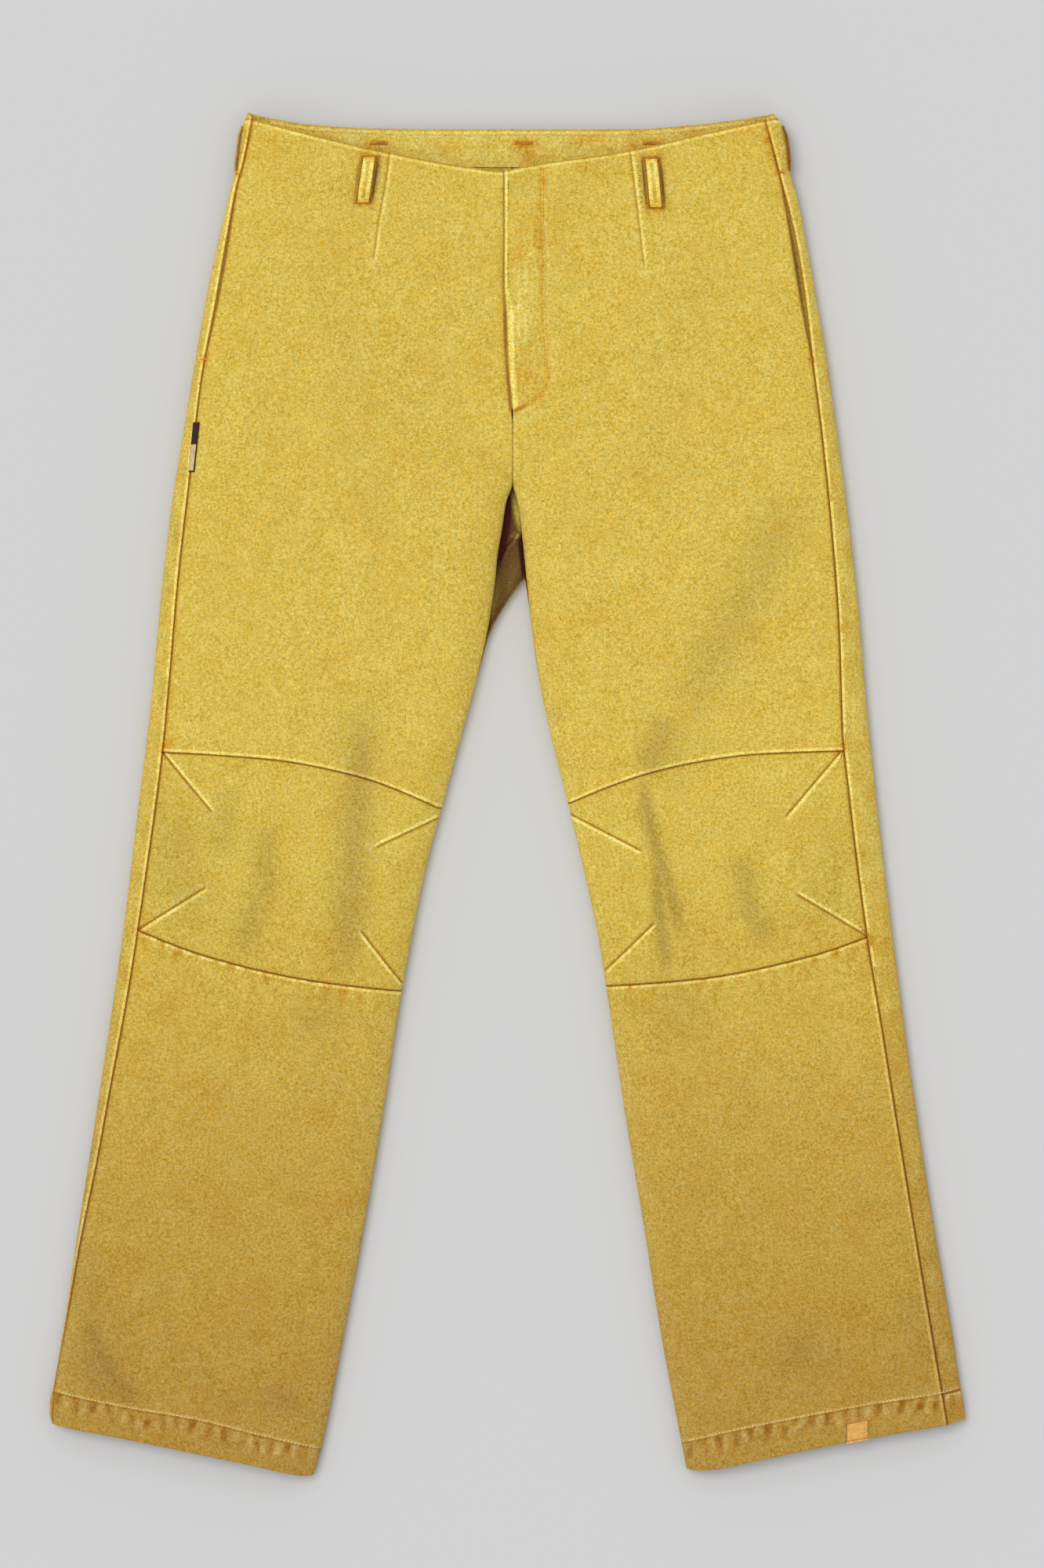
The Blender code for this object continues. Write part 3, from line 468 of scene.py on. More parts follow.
def front_top(x, y):
    """Height of the finished front, with the fly's overlap standing on the other panel."""
    on_flap = (x >= fly_edge(y) - 0.01) & (y > FLAP_LOW_Y) & (x < FLAP_FAR_X)
    _, past_hinge, _ = near(FLAP_LINE, x, y)
    proud = FLAP_PROUD * smooth(past_hinge, -6, 16) * smooth(y, 303, 318) * on_flap
    return front_height(x, y) + front_relief(x, y) + proud


# Marks painted on the cloth: seam lines, rust, painted shade and shadow in creases, gathers and hollows,
# and lighter places that are partly wear and partly painted highlight.

SIDE_LINE, CROSS_LINE, DART_LINE = 0, 1, 2
OUT_OF_REACH = 20
SEAM_FADE = (5, 8)


class SeamMarks:
    """Signed distances to the three families of seam line, and how strongly each one shows."""

    def __init__(self, shape):
        self.lines = np.full(shape + (3,), float(OUT_OF_REACH))
        self.shows = np.zeros(shape + (3,))

    def mark(self, family, distance, strength):
        lines, shows = self.lines[..., family], self.shows[..., family]
        closer = np.abs(distance) < np.abs(lines)
        fade = strength * (1 - smooth(np.abs(distance), *SEAM_FADE))
        shows[:] = np.where(closer, fade, shows)
        lines[:] = np.where(closer, distance, lines)


def mark_leg(marks, side, x, y, face):
    """One leg's side seam, knee seams and hem stitching. The lit ridge is on a distance's positive side."""
    here = on_leg(side, x).astype(float)

    def on_this_leg(distance):
        return np.where(here > 0, distance, OUT_OF_REACH)

    edge = pocket_edge(side)(y) if face == "front" else side_seam[side](y)
    # The right side seam weakens towards the hem. The left one swaps its lit side at the lower knee seam.
    if side < 0:
        marks.mark(SIDE_LINE, on_this_leg(edge - x), here * (0.3 + 0.7 * smooth(y, -440, -400)))
    else:
        marks.mark(SIDE_LINE, on_this_leg(edge - x), here * smooth(-y, 135, 160))
        marks.mark(DART_LINE, on_this_leg(x - edge), here * smooth(y, -160, -135))
    within = here * ((side_seam[side](y) - x) * side > 0)
    marks.mark(CROSS_LINE, on_this_leg(across_line(upper_seam[side], x, y)), within)
    marks.mark(CROSS_LINE, on_this_leg(-across_line(lower_seam[side], x, y)), within)
    marks.mark(CROSS_LINE, on_this_leg(across_line(hem_stitch[side], x, y) + 1.3), 0.55 * here)


def mark_front(marks, x, y):
    """The fly's edge, the waist edge, the darts, and the shade beside the front loops."""
    # At the fly's edge and at the waist edge, the dark line is painted shadow under the edge and the ridge
    # beside it a painted highlight.
    strong = np.where(y > FLY_FOOT_Y, 1.0, 0.35) * smooth(y, 246, 252)
    wider = 1 - 0.5 * smooth(y, 302, 306) * smooth(-y, -420, -380)
    marks.mark(SIDE_LINE, (x - fly_edge(y)) * wider, strong)
    marks.mark(CROSS_LINE, across_line(front_waist, x, y) * -1 - 0.9, 0.75 * (y > 400))
    for path, lit in DARTS:
        far, signed, share = near(path, x, y)
        inside = smooth(-share, -1.02, -0.97) * smooth(share, -0.03, 0)
        strength = 0.65 if path[0][1] > 400 else 1.15
        marks.mark(DART_LINE, signed * lit, inside * (far < 12) * strength)
    for path, loop_side, strength in LOOP_SHADE:
        far, signed, share = near(path, x, y)
        marks.mark(DART_LINE, signed * loop_side, strength * (share > 0) * (share < 1) * (far < 4))


def mark_back(marks, x, y):
    """The centre seam, and the edge that catches light in the hollow between the inseams."""
    marks.mark(SIDE_LINE, x - centre_back(1)(y), 0.8 * smooth(y, 165, 175))
    far, signed, share = near(HOLLOW_EDGE, x, y)
    marks.mark(CROSS_LINE, signed, 1.0 * (share > 0) * (share < 1) * (far < 6))


def seam_marks(x, y, face):
    marks = SeamMarks(x.shape)
    if face in ("front", "wrap"):
        for side, _ in SIDE_NAMES:
            mark_leg(marks, side, x, y, face)
        mark_front(marks, x, y)
    elif face == "facing":
        marks.mark(CROSS_LINE, back_waist(x) - y - 1.2, 0.4)
    else:
        mark_back(marks, x, y)
    return marks.lines, marks.shows


def unseen_tints(x, y, face):
    """Faint blotches over the back and the inside, and the rust under the back loops' ends."""
    blotches = small_waves(x * 1.3, y * 1.3)
    rust = 0.18 * np.clip(blotches, 0, 1)
    worn_and_lit = 0.2 * np.clip(-blotches, 0, 1)
    if face == "facing":
        rust = np.maximum(rust, patches(INSIDE_RUST, x, y))
        # Painted light: the whole facing is lightened against the shade that it lies in.
        worn_and_lit = 0.35 + worn_and_lit
    return np.stack([rust, np.zeros(x.shape), worn_and_lit], -1)


def gather_tints(side, x, y):
    """Rust and painted shade in one leg's gathers, rust along its side seam, and a painted highlight on the
    gathers' tops.
    """
    seam, hem = puckers(side, x, y)
    seam_top, seam_low = np.clip(seam, 0, 1), np.clip(-seam, 0, 1)
    hem_top, hem_low = np.clip(hem, 0, 1), np.clip(-hem, 0, 1)
    band = smooth(-across_line(hem_stitch[side], x, y), 0, 3)
    by_seam = (0.2 + 0.4 * smooth(y, 380, 500)) * bell(np.abs(x - side_seam[side](y)), 2.5)
    rust = np.maximum(0.8 * seam_low + 0.9 * hem_low + 0.04 * band, by_seam)
    dark = 0.8 * hem_low + 0.3 * seam_low + 0.02 * band
    return np.stack([rust, dark, 0.4 * seam_top + 1.5 * hem_top])


def strip_tints(side, x, y):
    """Uneven colour on the narrow strip outside one leg's side seam."""
    strip = smooth((x - side_seam[side](y)) * side, 0.5, 3) * smooth(-y, -500, -250)
    blotches = small_waves(x * 1.6, y * 1.2)
    rust = np.clip(0.1 + 0.2 * small_waves(y, x * 1.5), 0, 0.4)
    dark = np.clip(0.1 + 0.25 * blotches, 0, 0.35) * (0.75 - 0.25 * side)
    worn_and_lit = 0.12 + 0.3 * np.clip(-blotches, 0, 1)
    return strip * np.stack([rust, dark, worn_and_lit])


def tints(x, y, face):
    """Rust, painted shade in creases and gathers, painted shadows, and lighter places: wear and painted
    highlights.
    """
    if face != "front":
        return unseen_tints(x, y, face)
    rust, dark, worn_and_lit = (np.zeros(x.shape) for _ in range(3))
    # Painted shade in the creases.
    for path, wide, _, strength in CREASES:
        far, _, share = near(path, x, y)
        dark = np.maximum(dark, strength * crease_fade(share, 0.15) * bell(far, wide * 1.1))
    # Painted highlight along the ridges over the zip.
    for path in ZIP_MARKS:
        far, _, _ = near(path, x, y)
        worn_and_lit = np.maximum(worn_and_lit, 0.85 * bell(far, 1.5))
    # Rust along the fly stitching, a painted highlight beside it, and painted shadow under the fly's edge.
    far, signed, _ = near(FLY_STITCH, x, y)
    rust = np.maximum(rust, 0.45 * bell(far, 1.8))
    worn_and_lit = np.maximum(worn_and_lit, 0.45 * bell(signed - 3.5, 1.8) * (far < 9))
    dark = np.maximum(dark, 1.2 * bell(x - fly_edge(y) + 0.5, 0.9) * (y > FLY_FOOT_Y))
    # A painted highlight beside each dart.
    for path, _ in DARTS:
        far, _, share = near(path, x, y)
        worn_and_lit = np.maximum(worn_and_lit, 0.25 * bell(far - 3, 2.0) * smooth(-share, -1.05, -0.9))
    for side, _ in SIDE_NAMES:
        for added in (gather_tints(side, x, y), strip_tints(side, x, y)):
            rust, dark, worn_and_lit = np.maximum((rust, dark, worn_and_lit), on_leg(side, x) * added)
    # Painted light along the folds, lightening the shade on the rounded cloth.
    worn_and_lit = np.maximum(worn_and_lit, 0.34 * bell(front_inset(x, y), 8))
    # Painted shade and shadow, rust, and pale patches that are partly wear and partly painted highlight.
    dark = np.maximum(dark, patches(SHADED, x, y))
    rust = np.maximum(rust, patches(RUST, x, y))
    worn_and_lit = np.maximum(worn_and_lit, patches(PALE, x, y))
    return np.stack([rust, dark, worn_and_lit], -1)


# The ends of the hollow between the inseams, and how dark it is.
HOLLOW_Y = (85, 262)
HOLLOW_SHADE, DEEPEST_SHADE = 0.86, 1.1


def deep_inside(x, y):
    """Shade in the hollow between the inseams, where the inside of the back shows.

    A patch of negative strength lightens it.
    """
    left = front_inner[-1](y) - 8
    right = front_inner[1](y) + 5
    low, high = HOLLOW_Y
    across = smooth(x, left - 6, left + 4) * smooth(-x, -right - 6, -right)
    along = smooth(y, low, low + 25) * smooth(-y, -high, 14 - high)
    shade = HOLLOW_SHADE + np.zeros(x.shape)
    for *place, strength in HOLLOW:
        shade = shade + math.copysign(1, strength) * patches(((*place, abs(strength)),), x, y)
    return across * along * np.clip(shade, 0, DEEPEST_SHADE)


# Materials.


def linear(colour):
    """8-bit display colour as linear RGBA."""
    return (*(((c / 255 + 0.055) / 1.055) ** 2.4 for c in colour), 1.0)


class Material:
    """A Principled material and short calls for adding nodes to it."""

    def __init__(self, name, **values):
        self.made = bpy.data.materials.new(name)
        self.made.use_nodes = True
        self.tree = self.made.node_tree
        self.shader = self.tree.nodes["Principled BSDF"]
        self.put(self.shader, {key.replace("_", " "): value for key, value in values.items()})

    def put(self, node, inputs):
        for key, value in inputs.items():
            if isinstance(value, bpy.types.NodeSocket):
                self.tree.links.new(value, node.inputs[key])
            else:
                node.inputs[key].default_value = value

    def add(self, kind, inputs, output=0, **settings):
        node = self.tree.nodes.new("ShaderNode" + kind)
        for key, value in settings.items():
            setattr(node, key, value)
        self.put(node, inputs)
        return node.outputs[output]

    def attribute(self, name, output="Vector"):
        return self.add("Attribute", {}, output, attribute_name=name)

    def noise(self, where, scale, detail=2.0, rough=0.55):
        return self.add("TexNoise", {"Vector": where, "Scale": scale, "Detail": detail, "Roughness": rough})

    def maths(self, operation, a, b=0.0, c=0.0):
        return self.add("Math", {0: a, 1: b, 2: c}, operation=operation)

    def ramp(self, value, low, high, start=0.0, end=1.0):
        inputs = {0: value, 1: low, 2: high, 3: start, 4: end}
        return self.add("MapRange", inputs, interpolation_type="SMOOTHSTEP")

    def mix(self, share, a, b, kind="MIX"):
        inputs = {0: share, 6: a, 7: b}
        return self.add("Mix", inputs, 2, data_type="RGBA", blend_type=kind)

    def grey(self, value):
        return self.add("CombineColor", {0: value, 1: value, 2: value})

    def tinted(self, share, colour, by):
        """The colour, with a share of it multiplied by another."""
        return self.mix(share, colour, self.mix(1.0, colour, (*by, 1), "MULTIPLY"))

    def bands(self, where, scale, distortion, direction, **more):
        inputs = {"Vector": where, "Scale": scale, "Distortion": distortion, **more}
        return self.add("TexWave", inputs, "Fac", wave_type="BANDS", bands_direction=direction)

    def split(self, vector):
        """The three numbers of a vector."""
        node = self.tree.nodes.new("ShaderNodeSeparateXYZ")
        self.tree.links.new(vector, node.inputs[0])
        return node.outputs

    def moved(self, vector, by):
        return self.add("VectorMath", {0: vector, 1: by}, operation="ADD")

    def bump(self, height, distance, strength=1.0):
        return self.add("Bump", {"Height": height, "Distance": distance, "Strength": strength})


def vector_ramp(look, value, low, high):
    """1 where each part of a vector is under low, and 0 over high."""
    node = look.tree.nodes.new("ShaderNodeMapRange")
    node.data_type = "FLOAT_VECTOR"
    node.interpolation_type = "SMOOTHSTEP"
    look.tree.links.new(value, node.inputs["Vector"])
    for socket, amount in ((7, low), (8, high), (9, 1.0), (10, 0.0)):
        node.inputs[socket].default_value = (amount,) * 3
    return node.outputs["Vector"]


def line_share(look, distances, shows, offset, low, high):
    """How much of a seam line or of the ridge beside it shows at a point."""
    size = look.add("VectorMath", {0: look.moved(distances, (-offset,) * 3)}, operation="ABSOLUTE")
    inputs = {0: vector_ramp(look, size, low, high), 1: shows}
    share = look.add("VectorMath", inputs, operation="MULTIPLY")
    return look.add("VectorMath", {0: share, 1: (1.0, 1.0, 1.0)}, "Value", operation="DOT_PRODUCT")


# The cloth's colour along the legs, darker and browner towards the hems: y, and an 8-bit display colour.
COLOUR_DOWN_LEGS = (
    (60, (218, 191, 83)), (-53, (216, 189, 82)), (-150, (209, 179, 76)), (-240, (200, 168, 74)),
    (-340, (192, 159, 69)), (-440, (185, 150, 67)), (-540, (179, 143, 65)),
)
LOW_Y, HIGH_Y = -560, 100

# What each mark multiplies the cloth's colour by.
ORANGE_SPECK, OLIVE_SPECK, WARM_CLOUD = (1.05, 0.92, 0.55), (0.94, 1.01, 1.40), (0.98, 0.88, 0.74)
# The darkening is painted shade and shadow, and on the side strips the cloth's own darker colour; the
# lightening is partly wear and partly painted highlight and painted light.
DARKENED, WORN_AND_LIT, RUSTY = (0.58, 0.55, 0.74), (1.20, 1.34, 2.1), (0.88, 0.59, 0.19)
# Painted shade for the inside of the garment.
DEEP_SHADE = (0.085, 0.022, 0.13)
# Beside a seam: a painted highlight on its lit ridge, a brown stain, and the seam's dark line. Beside the
# fly's edge, the waist edge and the loops, the stain and the dark line are painted shadow.
SEAM_RIDGE, SEAM_STAIN_AND_SHADE, SEAM_GROOVE = (1.34, 1.50, 2.1), (0.85, 0.66, 0.45), (0.68, 0.48, 0.32)


def colour_down_legs(look, rest, height):
    """The cloth's colour at a height along the legs, with an uneven edge to its change."""
    broad = look.noise(rest, 38, 3.0)
    uneven = look.maths("MULTIPLY_ADD", broad, 60 * MM, -30 * MM)
    place = look.ramp(look.maths("ADD", uneven, height), LOW_Y * MM, HIGH_Y * MM)
    place.node.interpolation_type = "LINEAR"
    ramp = look.tree.nodes.new("ShaderNodeValToRGB")
    look.tree.links.new(place, ramp.inputs[0])
    stops = ramp.color_ramp.elements
    while len(stops) < len(COLOUR_DOWN_LEGS):
        stops.new(0.5)
    for stop, (y, colour) in zip(stops, reversed(COLOUR_DOWN_LEGS)):
        stop.position = (y - LOW_Y) / (HIGH_Y - LOW_Y)
        stop.color = linear(colour)
    return ramp.outputs[0]


def canvas_material(name, inside=False):
    """Garment-washed canvas: darker towards the hems, mottled, worn and rusty, with painted shade and
    highlights.
    """
    look = Material(name, Roughness=0.92, Sheen_Weight=0.04, Sheen_Roughness=0.5, Specular_IOR_Level=0.08)
    look.shader.inputs["Sheen Tint"].default_value = linear((240, 220, 150))
    rest = look.attribute("rest")
    colour = colour_down_legs(look, rest, look.split(rest)[1])
    grain = look.noise(rest, 760, 2.0, 0.6)
    speck = look.noise(rest, 400, 3.0, 0.65)
    cloud = look.noise(rest, 70, 2.0)
    total = look.maths("MULTIPLY_ADD", grain, 1.1, -0.1)
    total = look.maths("MULTIPLY_ADD", speck, 0.9, total)
    value = look.maths("MULTIPLY_ADD", cloud, 0.2, total)
    green = look.maths("MULTIPLY_ADD", value, 1.2, -0.2)
    blue = look.maths("MULTIPLY_ADD", value, 2.8, -1.8)
    mottling = look.add("CombineColor", {0: value, 1: green, 2: blue})
    colour = look.mix(1.0, colour, mottling, "MULTIPLY")
    apart = look.moved(rest, (0.7, 0.3, 0.1))
    hue = look.noise(apart, 560, 2.0, 0.6)
    colour = look.tinted(look.ramp(hue, 0.5, 0.66), colour, ORANGE_SPECK)
    colour = look.tinted(look.ramp(hue, 0.5, 0.36), colour, OLIVE_SPECK)
    warm = look.ramp(look.noise(apart, 24, 3.0), 0.44, 0.72, 0.0, 0.6)
    colour = look.tinted(warm, colour, WARM_CLOUD)
    rust, dark, worn_and_lit = look.split(look.attribute("tint"))
    patchy = look.ramp(look.noise(apart, 190, 3.0, 0.6), 0.36, 0.6, 0.35, 1.3)
    # Painted shade and shadow, which on the side strips is the cloth's own darker colour.
    colour = look.tinted(look.maths("MULTIPLY", dark, 0.8), colour, DARKENED)
    # Lighter places: partly wear, partly painted highlight and painted light.
    colour = look.tinted(look.maths("MULTIPLY", worn_and_lit, patchy), colour, WORN_AND_LIT)
    colour = look.tinted(look.maths("MULTIPLY", rust, patchy), colour, RUSTY)
    # The inside look is given painted shade: a little everywhere, and deep in the hollow between the
    # inseams.
    if inside:
        dim = look.maths("MULTIPLY_ADD", look.attribute("dim", "Fac"), 0.89, 0.12)
        colour = look.tinted(dim, colour, DEEP_SHADE)
    lines, shows = look.attribute("seams"), look.attribute("seams_on")
    # The ridge is a painted highlight on a seam's lit side; beside the fly, the waist edge and the loops the
    # stain and the groove are painted shadow.
    ridge = line_share(look, lines, shows, 1.9, 0.5, 1.6)
    groove = line_share(look, lines, shows, -0.15, 0.4, 1.0)
    stain_and_shade = line_share(look, lines, shows, -1.0, 0.6, 2.4)
    broken = look.ramp(speck, 0.35, 0.6, 0.7, 1.0)
    colour = look.tinted(look.maths("MULTIPLY", ridge, 0.95), colour, SEAM_RIDGE)
    colour = look.tinted(look.maths("MULTIPLY", stain_and_shade, 0.2), colour, SEAM_STAIN_AND_SHADE)
    colour = look.tinted(look.maths("MULTIPLY", groove, broken), colour, SEAM_GROOVE)
    twill = look.bands(rest, 420.0, 1.5, "DIAGONAL", Detail=1.0)
    weft = look.bands(rest, 300.0, 1.0, "Y", Detail=1.0)
    weave = look.maths("MULTIPLY_ADD", weft, 0.4, twill)
    height = look.maths("MULTIPLY_ADD", weave, 0.10, look.maths("MULTIPLY", grain, 0.55))
    for part, amount in ((speck, 0.9), (ridge, 0.3), (groove, -0.8)):
        height = look.maths("MULTIPLY_ADD", part, amount, height)
    rough = look.ramp(speck, 0.3, 0.7, 0.86, 0.98)
    normal = look.bump(height, 0.5 * MM, 0.9)
    look.put(look.shader, {"Base Color": colour, "Normal": normal, "Roughness": rough})
    return look.made


def faded(look, rest, colour, scale, tone, rough):
    """Gives a look its colour and roughness, both a little uneven, and returns the unevenness."""
    fade = look.noise(rest, scale, 3.0)
    grey = look.grey(look.ramp(fade, *tone))
    look.put(look.shader, {"Base Color": look.mix(1.0, linear(colour), grey, "MULTIPLY"),
                           "Roughness": look.ramp(fade, *rough)})
    return fade


def woven_material(name, colour, rib=0.7, depth=0.12):
    """Plain narrow-woven tape with fine ribs and a little fading."""
    look = Material(name, Roughness=0.85, Sheen_Weight=0.2, Specular_IOR_Level=0.2)
    rest = look.attribute("rest")
    fade = faded(look, rest, colour, 260, (0.25, 0.75, 0.8, 1.12), (0.3, 0.7, 0.78, 0.92))
    ribs = look.bands(rest, 0.314 / (rib * MM), 0.6, "Y")
    height = look.maths("MULTIPLY_ADD", fade, 0.6, ribs)
    look.put(look.shader, {"Normal": look.bump(height, depth * MM, 0.8)})
    return look.made


def brass_material(name):
    """Antique brass: dark patina in the hollows and rubbed bright spots."""
    look = Material(name, Metallic=1.0)
    where = look.add("TexCoord", {}, "Object")
    patina = look.noise(where, 420, 4.0, 0.65)
    rubbed = look.ramp(patina, 0.42, 0.66)
    look.put(look.shader, {"Base Color": look.mix(rubbed, linear((104, 78, 40)), linear((186, 152, 86)))})
    scratches = look.noise(where, 2600, 2.0)
    look.put(look.shader, {"Roughness": look.ramp(patina, 0.3, 0.7, 0.5, 0.28)})
    height = look.maths("MULTIPLY_ADD", scratches, 0.35, patina)
    look.put(look.shader, {"Normal": look.bump(height, 0.08 * MM, 0.6)})
    return look.made


def thread_material(name, colour):
    """Spun thread: a fine twist along each stitch, faded in places."""
    look = Material(name, Roughness=0.7, Sheen_Weight=0.25, Specular_IOR_Level=0.25)
    rest = look.attribute("rest")
    faded(look, rest, colour, 150, (0.3, 0.7, 0.72, 1.12), (0.3, 0.7, 0.62, 0.8))
    twist = look.bands(rest, 900.0, 0.8, "DIAGONAL")
    look.put(look.shader, {"Normal": look.bump(twist, 0.06 * MM, 0.7)})
    return look.made


canvas = canvas_material("washed_canvas")
canvas_inside = canvas_material("washed_canvas_inside", inside=True)
tape_look = woven_material("zip_tape_weave", (196, 166, 74), 0.6)
brown_look = woven_material("tag_brown_weave", (58, 36, 26), 0.5)
tan_look = woven_material("hem_label_weave", (236, 178, 92), 0.5)
cream_look = woven_material("tag_cream_weave", (222, 190, 138), 0.5)
brass = brass_material("antique_brass_patina")
pale_thread = thread_material("pale_thread", (240, 220, 140))
rust_thread = thread_material("rust_thread", (214, 150, 40))
brown_thread = thread_material("brown_thread", (120, 72, 34))


# Mesh building.


def flat_floats(values):
    return np.ascontiguousarray(values, np.float32).ravel()


def add_vector(mesh, name, values):
    mesh.attributes.new(name, "FLOAT_VECTOR", "POINT").data.foreach_set("vector", flat_floats(values))


def add_number(mesh, name, values):
    mesh.attributes.new(name, "FLOAT", "POINT").data.foreach_set("value", flat_floats(values))


def grid_of(x, y, z):
    return np.stack([x, y, z], -1)


def new_object(name, points, faces, looks, rest=None):
    """A smooth-shaded mesh object from millimetre points, which remembers where it lay."""
    mesh = bpy.data.meshes.new(name)
    mesh.from_pydata((points * MM).tolist(), [], faces.tolist() if hasattr(faces, "tolist") else faces)
    for look in looks:
        mesh.materials.append(look)
    mesh.shade_smooth()
    add_vector(mesh, "rest", (points if rest is None else rest) * MM)
    obj = bpy.data.objects.new(name, mesh)
    bpy.context.scene.collection.objects.link(obj)
    return obj


def grid_faces(rows, columns):
    index = np.arange(rows * columns).reshape(rows, columns)
    corners = (index[:-1, :-1], index[:-1, 1:], index[1:, 1:], index[1:, :-1])
    return np.stack([c.ravel() for c in corners], 1)


def sharpen_border(mesh, rows, columns):
    """Marks the cut edges of a grid sharp, so that its thickness doesn't bend the light on its face."""
    ends = np.zeros(len(mesh.edges) * 2, np.int32)
    mesh.edges.foreach_get("vertices", ends)
    row, column = np.divmod(ends.reshape(-1, 2), columns)
    on_row = (row[:, 0] == row[:, 1]) & np.isin(row[:, 0], (0, rows - 1))
    on_column = (column[:, 0] == column[:, 1]) & np.isin(column[:, 0], (0, columns - 1))
    sharp = mesh.attributes.new("sharp_edge", "BOOLEAN", "EDGE")
    sharp.data.foreach_set("value", on_row | on_column)


# The smallest side counted for a flat sheet, in sizes that cloth() works out but does not use.
LEAST_SHEET = 10


def quad_normals(grid):
    a, b, c, d = grid[:-1, :-1], grid[:-1, 1:], grid[1:, 1:], grid[1:, :-1]
    return np.cross(c - a, d - b) / 2


def cloth(name, grid, outward, thickness=CLOTH, looks=None, face="front",
          plain=False, facing=2):
    """A piece of cloth from a grid of points: its outer face looks outward, its thickness goes in."""
    rows, columns, _ = grid.shape
    normals = quad_normals(grid)
    faces = grid_faces(rows, columns)
    if normals[..., facing].sum() * outward < 0:
        faces = faces[:, ::-1]
    points = grid.reshape(-1, 3)
    obj = new_object(name, points, faces, looks or (canvas, canvas_inside))
    sharpen_border(obj.data, rows, columns)
    x, y = points[:, 0], points[:, 1]
    if not plain:
        lines, shows = seam_marks(x, y, face)
        add_vector(obj.data, "seams", lines)
        add_vector(obj.data, "seams_on", shows)
        add_vector(obj.data, "tint", tints(x, y, face))
        add_number(obj.data, "dim", deep_inside(x, y))
    solid = obj.modifiers.new("thickness", "SOLIDIFY")
    solid.thickness = thickness * MM
    solid.offset = -1
    solid.material_offset = 1
    solid.material_offset_rim = 1 if outward < 0 else 0
    across = np.linalg.norm(np.diff(grid, axis=1), axis=2).sum(1).max()
    along = np.linalg.norm(np.diff(grid, axis=0), axis=2).sum(0).max()
    area = np.linalg.norm(normals, axis=2).sum()
    width, length = max(math.ceil(across), LEAST_SHEET), max(math.ceil(along), LEAST_SHEET)
    area = min(area, width * length)
    return obj


def spaced(width, step, start, end):
    """Fractions along one or many widths: fixed distances near both ends, even steps between."""
    width = np.atleast_1d(np.asarray(width, float))[:, None]
    start, end = np.array(start, float)[None], np.array(end, float)[None]
    count = max(2, math.ceil((width.max() - start.max() - end.max()) / step))
    inner = np.linspace(0, 1, count + 1)[None, 1:-1]
    low, high = start[:, -1:] / width, 1 - end[:, -1:] / width
    return np.hstack([start / width, low + (high - low) * inner, 1 - end[:, ::-1] / width])


def crossing(edge, line, start):
    y = start
    for _ in range(25):
        y = float(line(edge(y)))
    return y


# Rows of a cloth grid beside a sewn edge and beside a soft one, as distances from it.
EDGE_ROWS = (0, 0.5, 1.1, 2.0, 3.4)
SOFT_ROWS = (0, 0.6, 1.5, 3.2, 6, 9.5)


def plan(outer, inner, top, bottom, step, rows=(EDGE_ROWS, EDGE_ROWS), columns=(EDGE_ROWS, SOFT_ROWS)):
    """Points (x, y) over a panel between two edges and two lines, and their distances to its borders."""
    top_o, top_i = crossing(outer, top, 200), crossing(inner, top, 200)
    low_o, low_i = crossing(outer, bottom, -200), crossing(inner, bottom, -200)
    long = abs((top_o + top_i - low_o - low_i) / 2)
    v = spaced(long, step, *rows).T
    y_o, y_i = top_o + (low_o - top_o) * v, top_i + (low_i - top_i) * v
    x_o, x_i = outer(y_o), inner(y_i)
    width = np.abs(x_i - x_o)
    u = spaced(width[:, 0], step, *columns)
    top_x = outer(top_o) * (1 - u) + inner(top_i) * u
    low_x = outer(low_o) * (1 - u) + inner(low_i) * u
    bow_top = top(top_x) - (top_o * (1 - u) + top_i * u)
    bow_low = bottom(low_x) - (low_o * (1 - u) + low_i * u)
    x = x_o * (1 - u) + x_i * u
    y = y_o * (1 - u) + y_i * u + (1 - v) * bow_top + v * bow_low
    borders = {"outer": u * width, "inner": (1 - u) * width, "top": v * long, "bottom": (1 - v) * long}
    return x, y, {key: np.broadcast_to(value, x.shape) for key, value in borders.items()}


# A turned-in edge: how deep and how wide it sinks, and the height of the ridge beside it.
TURN_DEPTH, TURN_REACH = 0.55, 0.55
TURN_RIDGE = 0.28


def turned_down(borders):
    """Sinks the cloth where its edges are turned in and sewn, with a slight ridge beside each."""
    drop = 0.0
    for edge in ("outer", "top", "bottom"):
        from_edge = borders[edge]
        drop = drop + TURN_DEPTH * bell(from_edge, TURN_REACH) - TURN_RIDGE * bell(from_edge - 2.6, 1.4)
    return drop


def moved(line, amount):
    return lambda x: line(x) + amount


def front_piece(name, outer, inner, top, bottom, step):
    x, y, borders = plan(outer, inner, top, bottom, step)
    z = front_top(x, y) - turned_down(borders)
    return cloth(name, grid_of(x, y, z), 1)


def pocket_edge(side):
    """The front panel's outer edge, bowed open along the pocket mouth."""
    low, high = POCKET_MOUTH_Y
    bow = {-1: 1.6, 1: 4.2}[side]

    def read(y):
        part = np.clip((y - low) / (high - low), 0, 1)
        return side_seam[side](y) - side * (GAP + bow * np.sin(math.pi * part))

    return read


def flap_line(y):
    (x0, y0), (x1, y1) = FLAP_LINE
    return x0 + (x1 - x0) * (y - y0) / (y1 - y0)


def left_inner(y):
    """Inner edge of the left front: the inseam, the centre seam, then the flap's hinge line."""
    return np.where(y > FLAP_HINGE_FOOT, np.maximum(flap_line(y), FRONT_CROTCH[0]), front_inner[1](y))


def right_inner(y):
    """Inner edge of the right front, which runs a little way under the flap."""
    under_flap = fly_edge(y) - 0.2 + 6 * smooth(y, 300, 330)
    return np.minimum(front_inner[-1](y), under_flap)


def crossed(y):
    """A level line at a height."""
    return lambda x: np.full(np.shape(x), float(y))


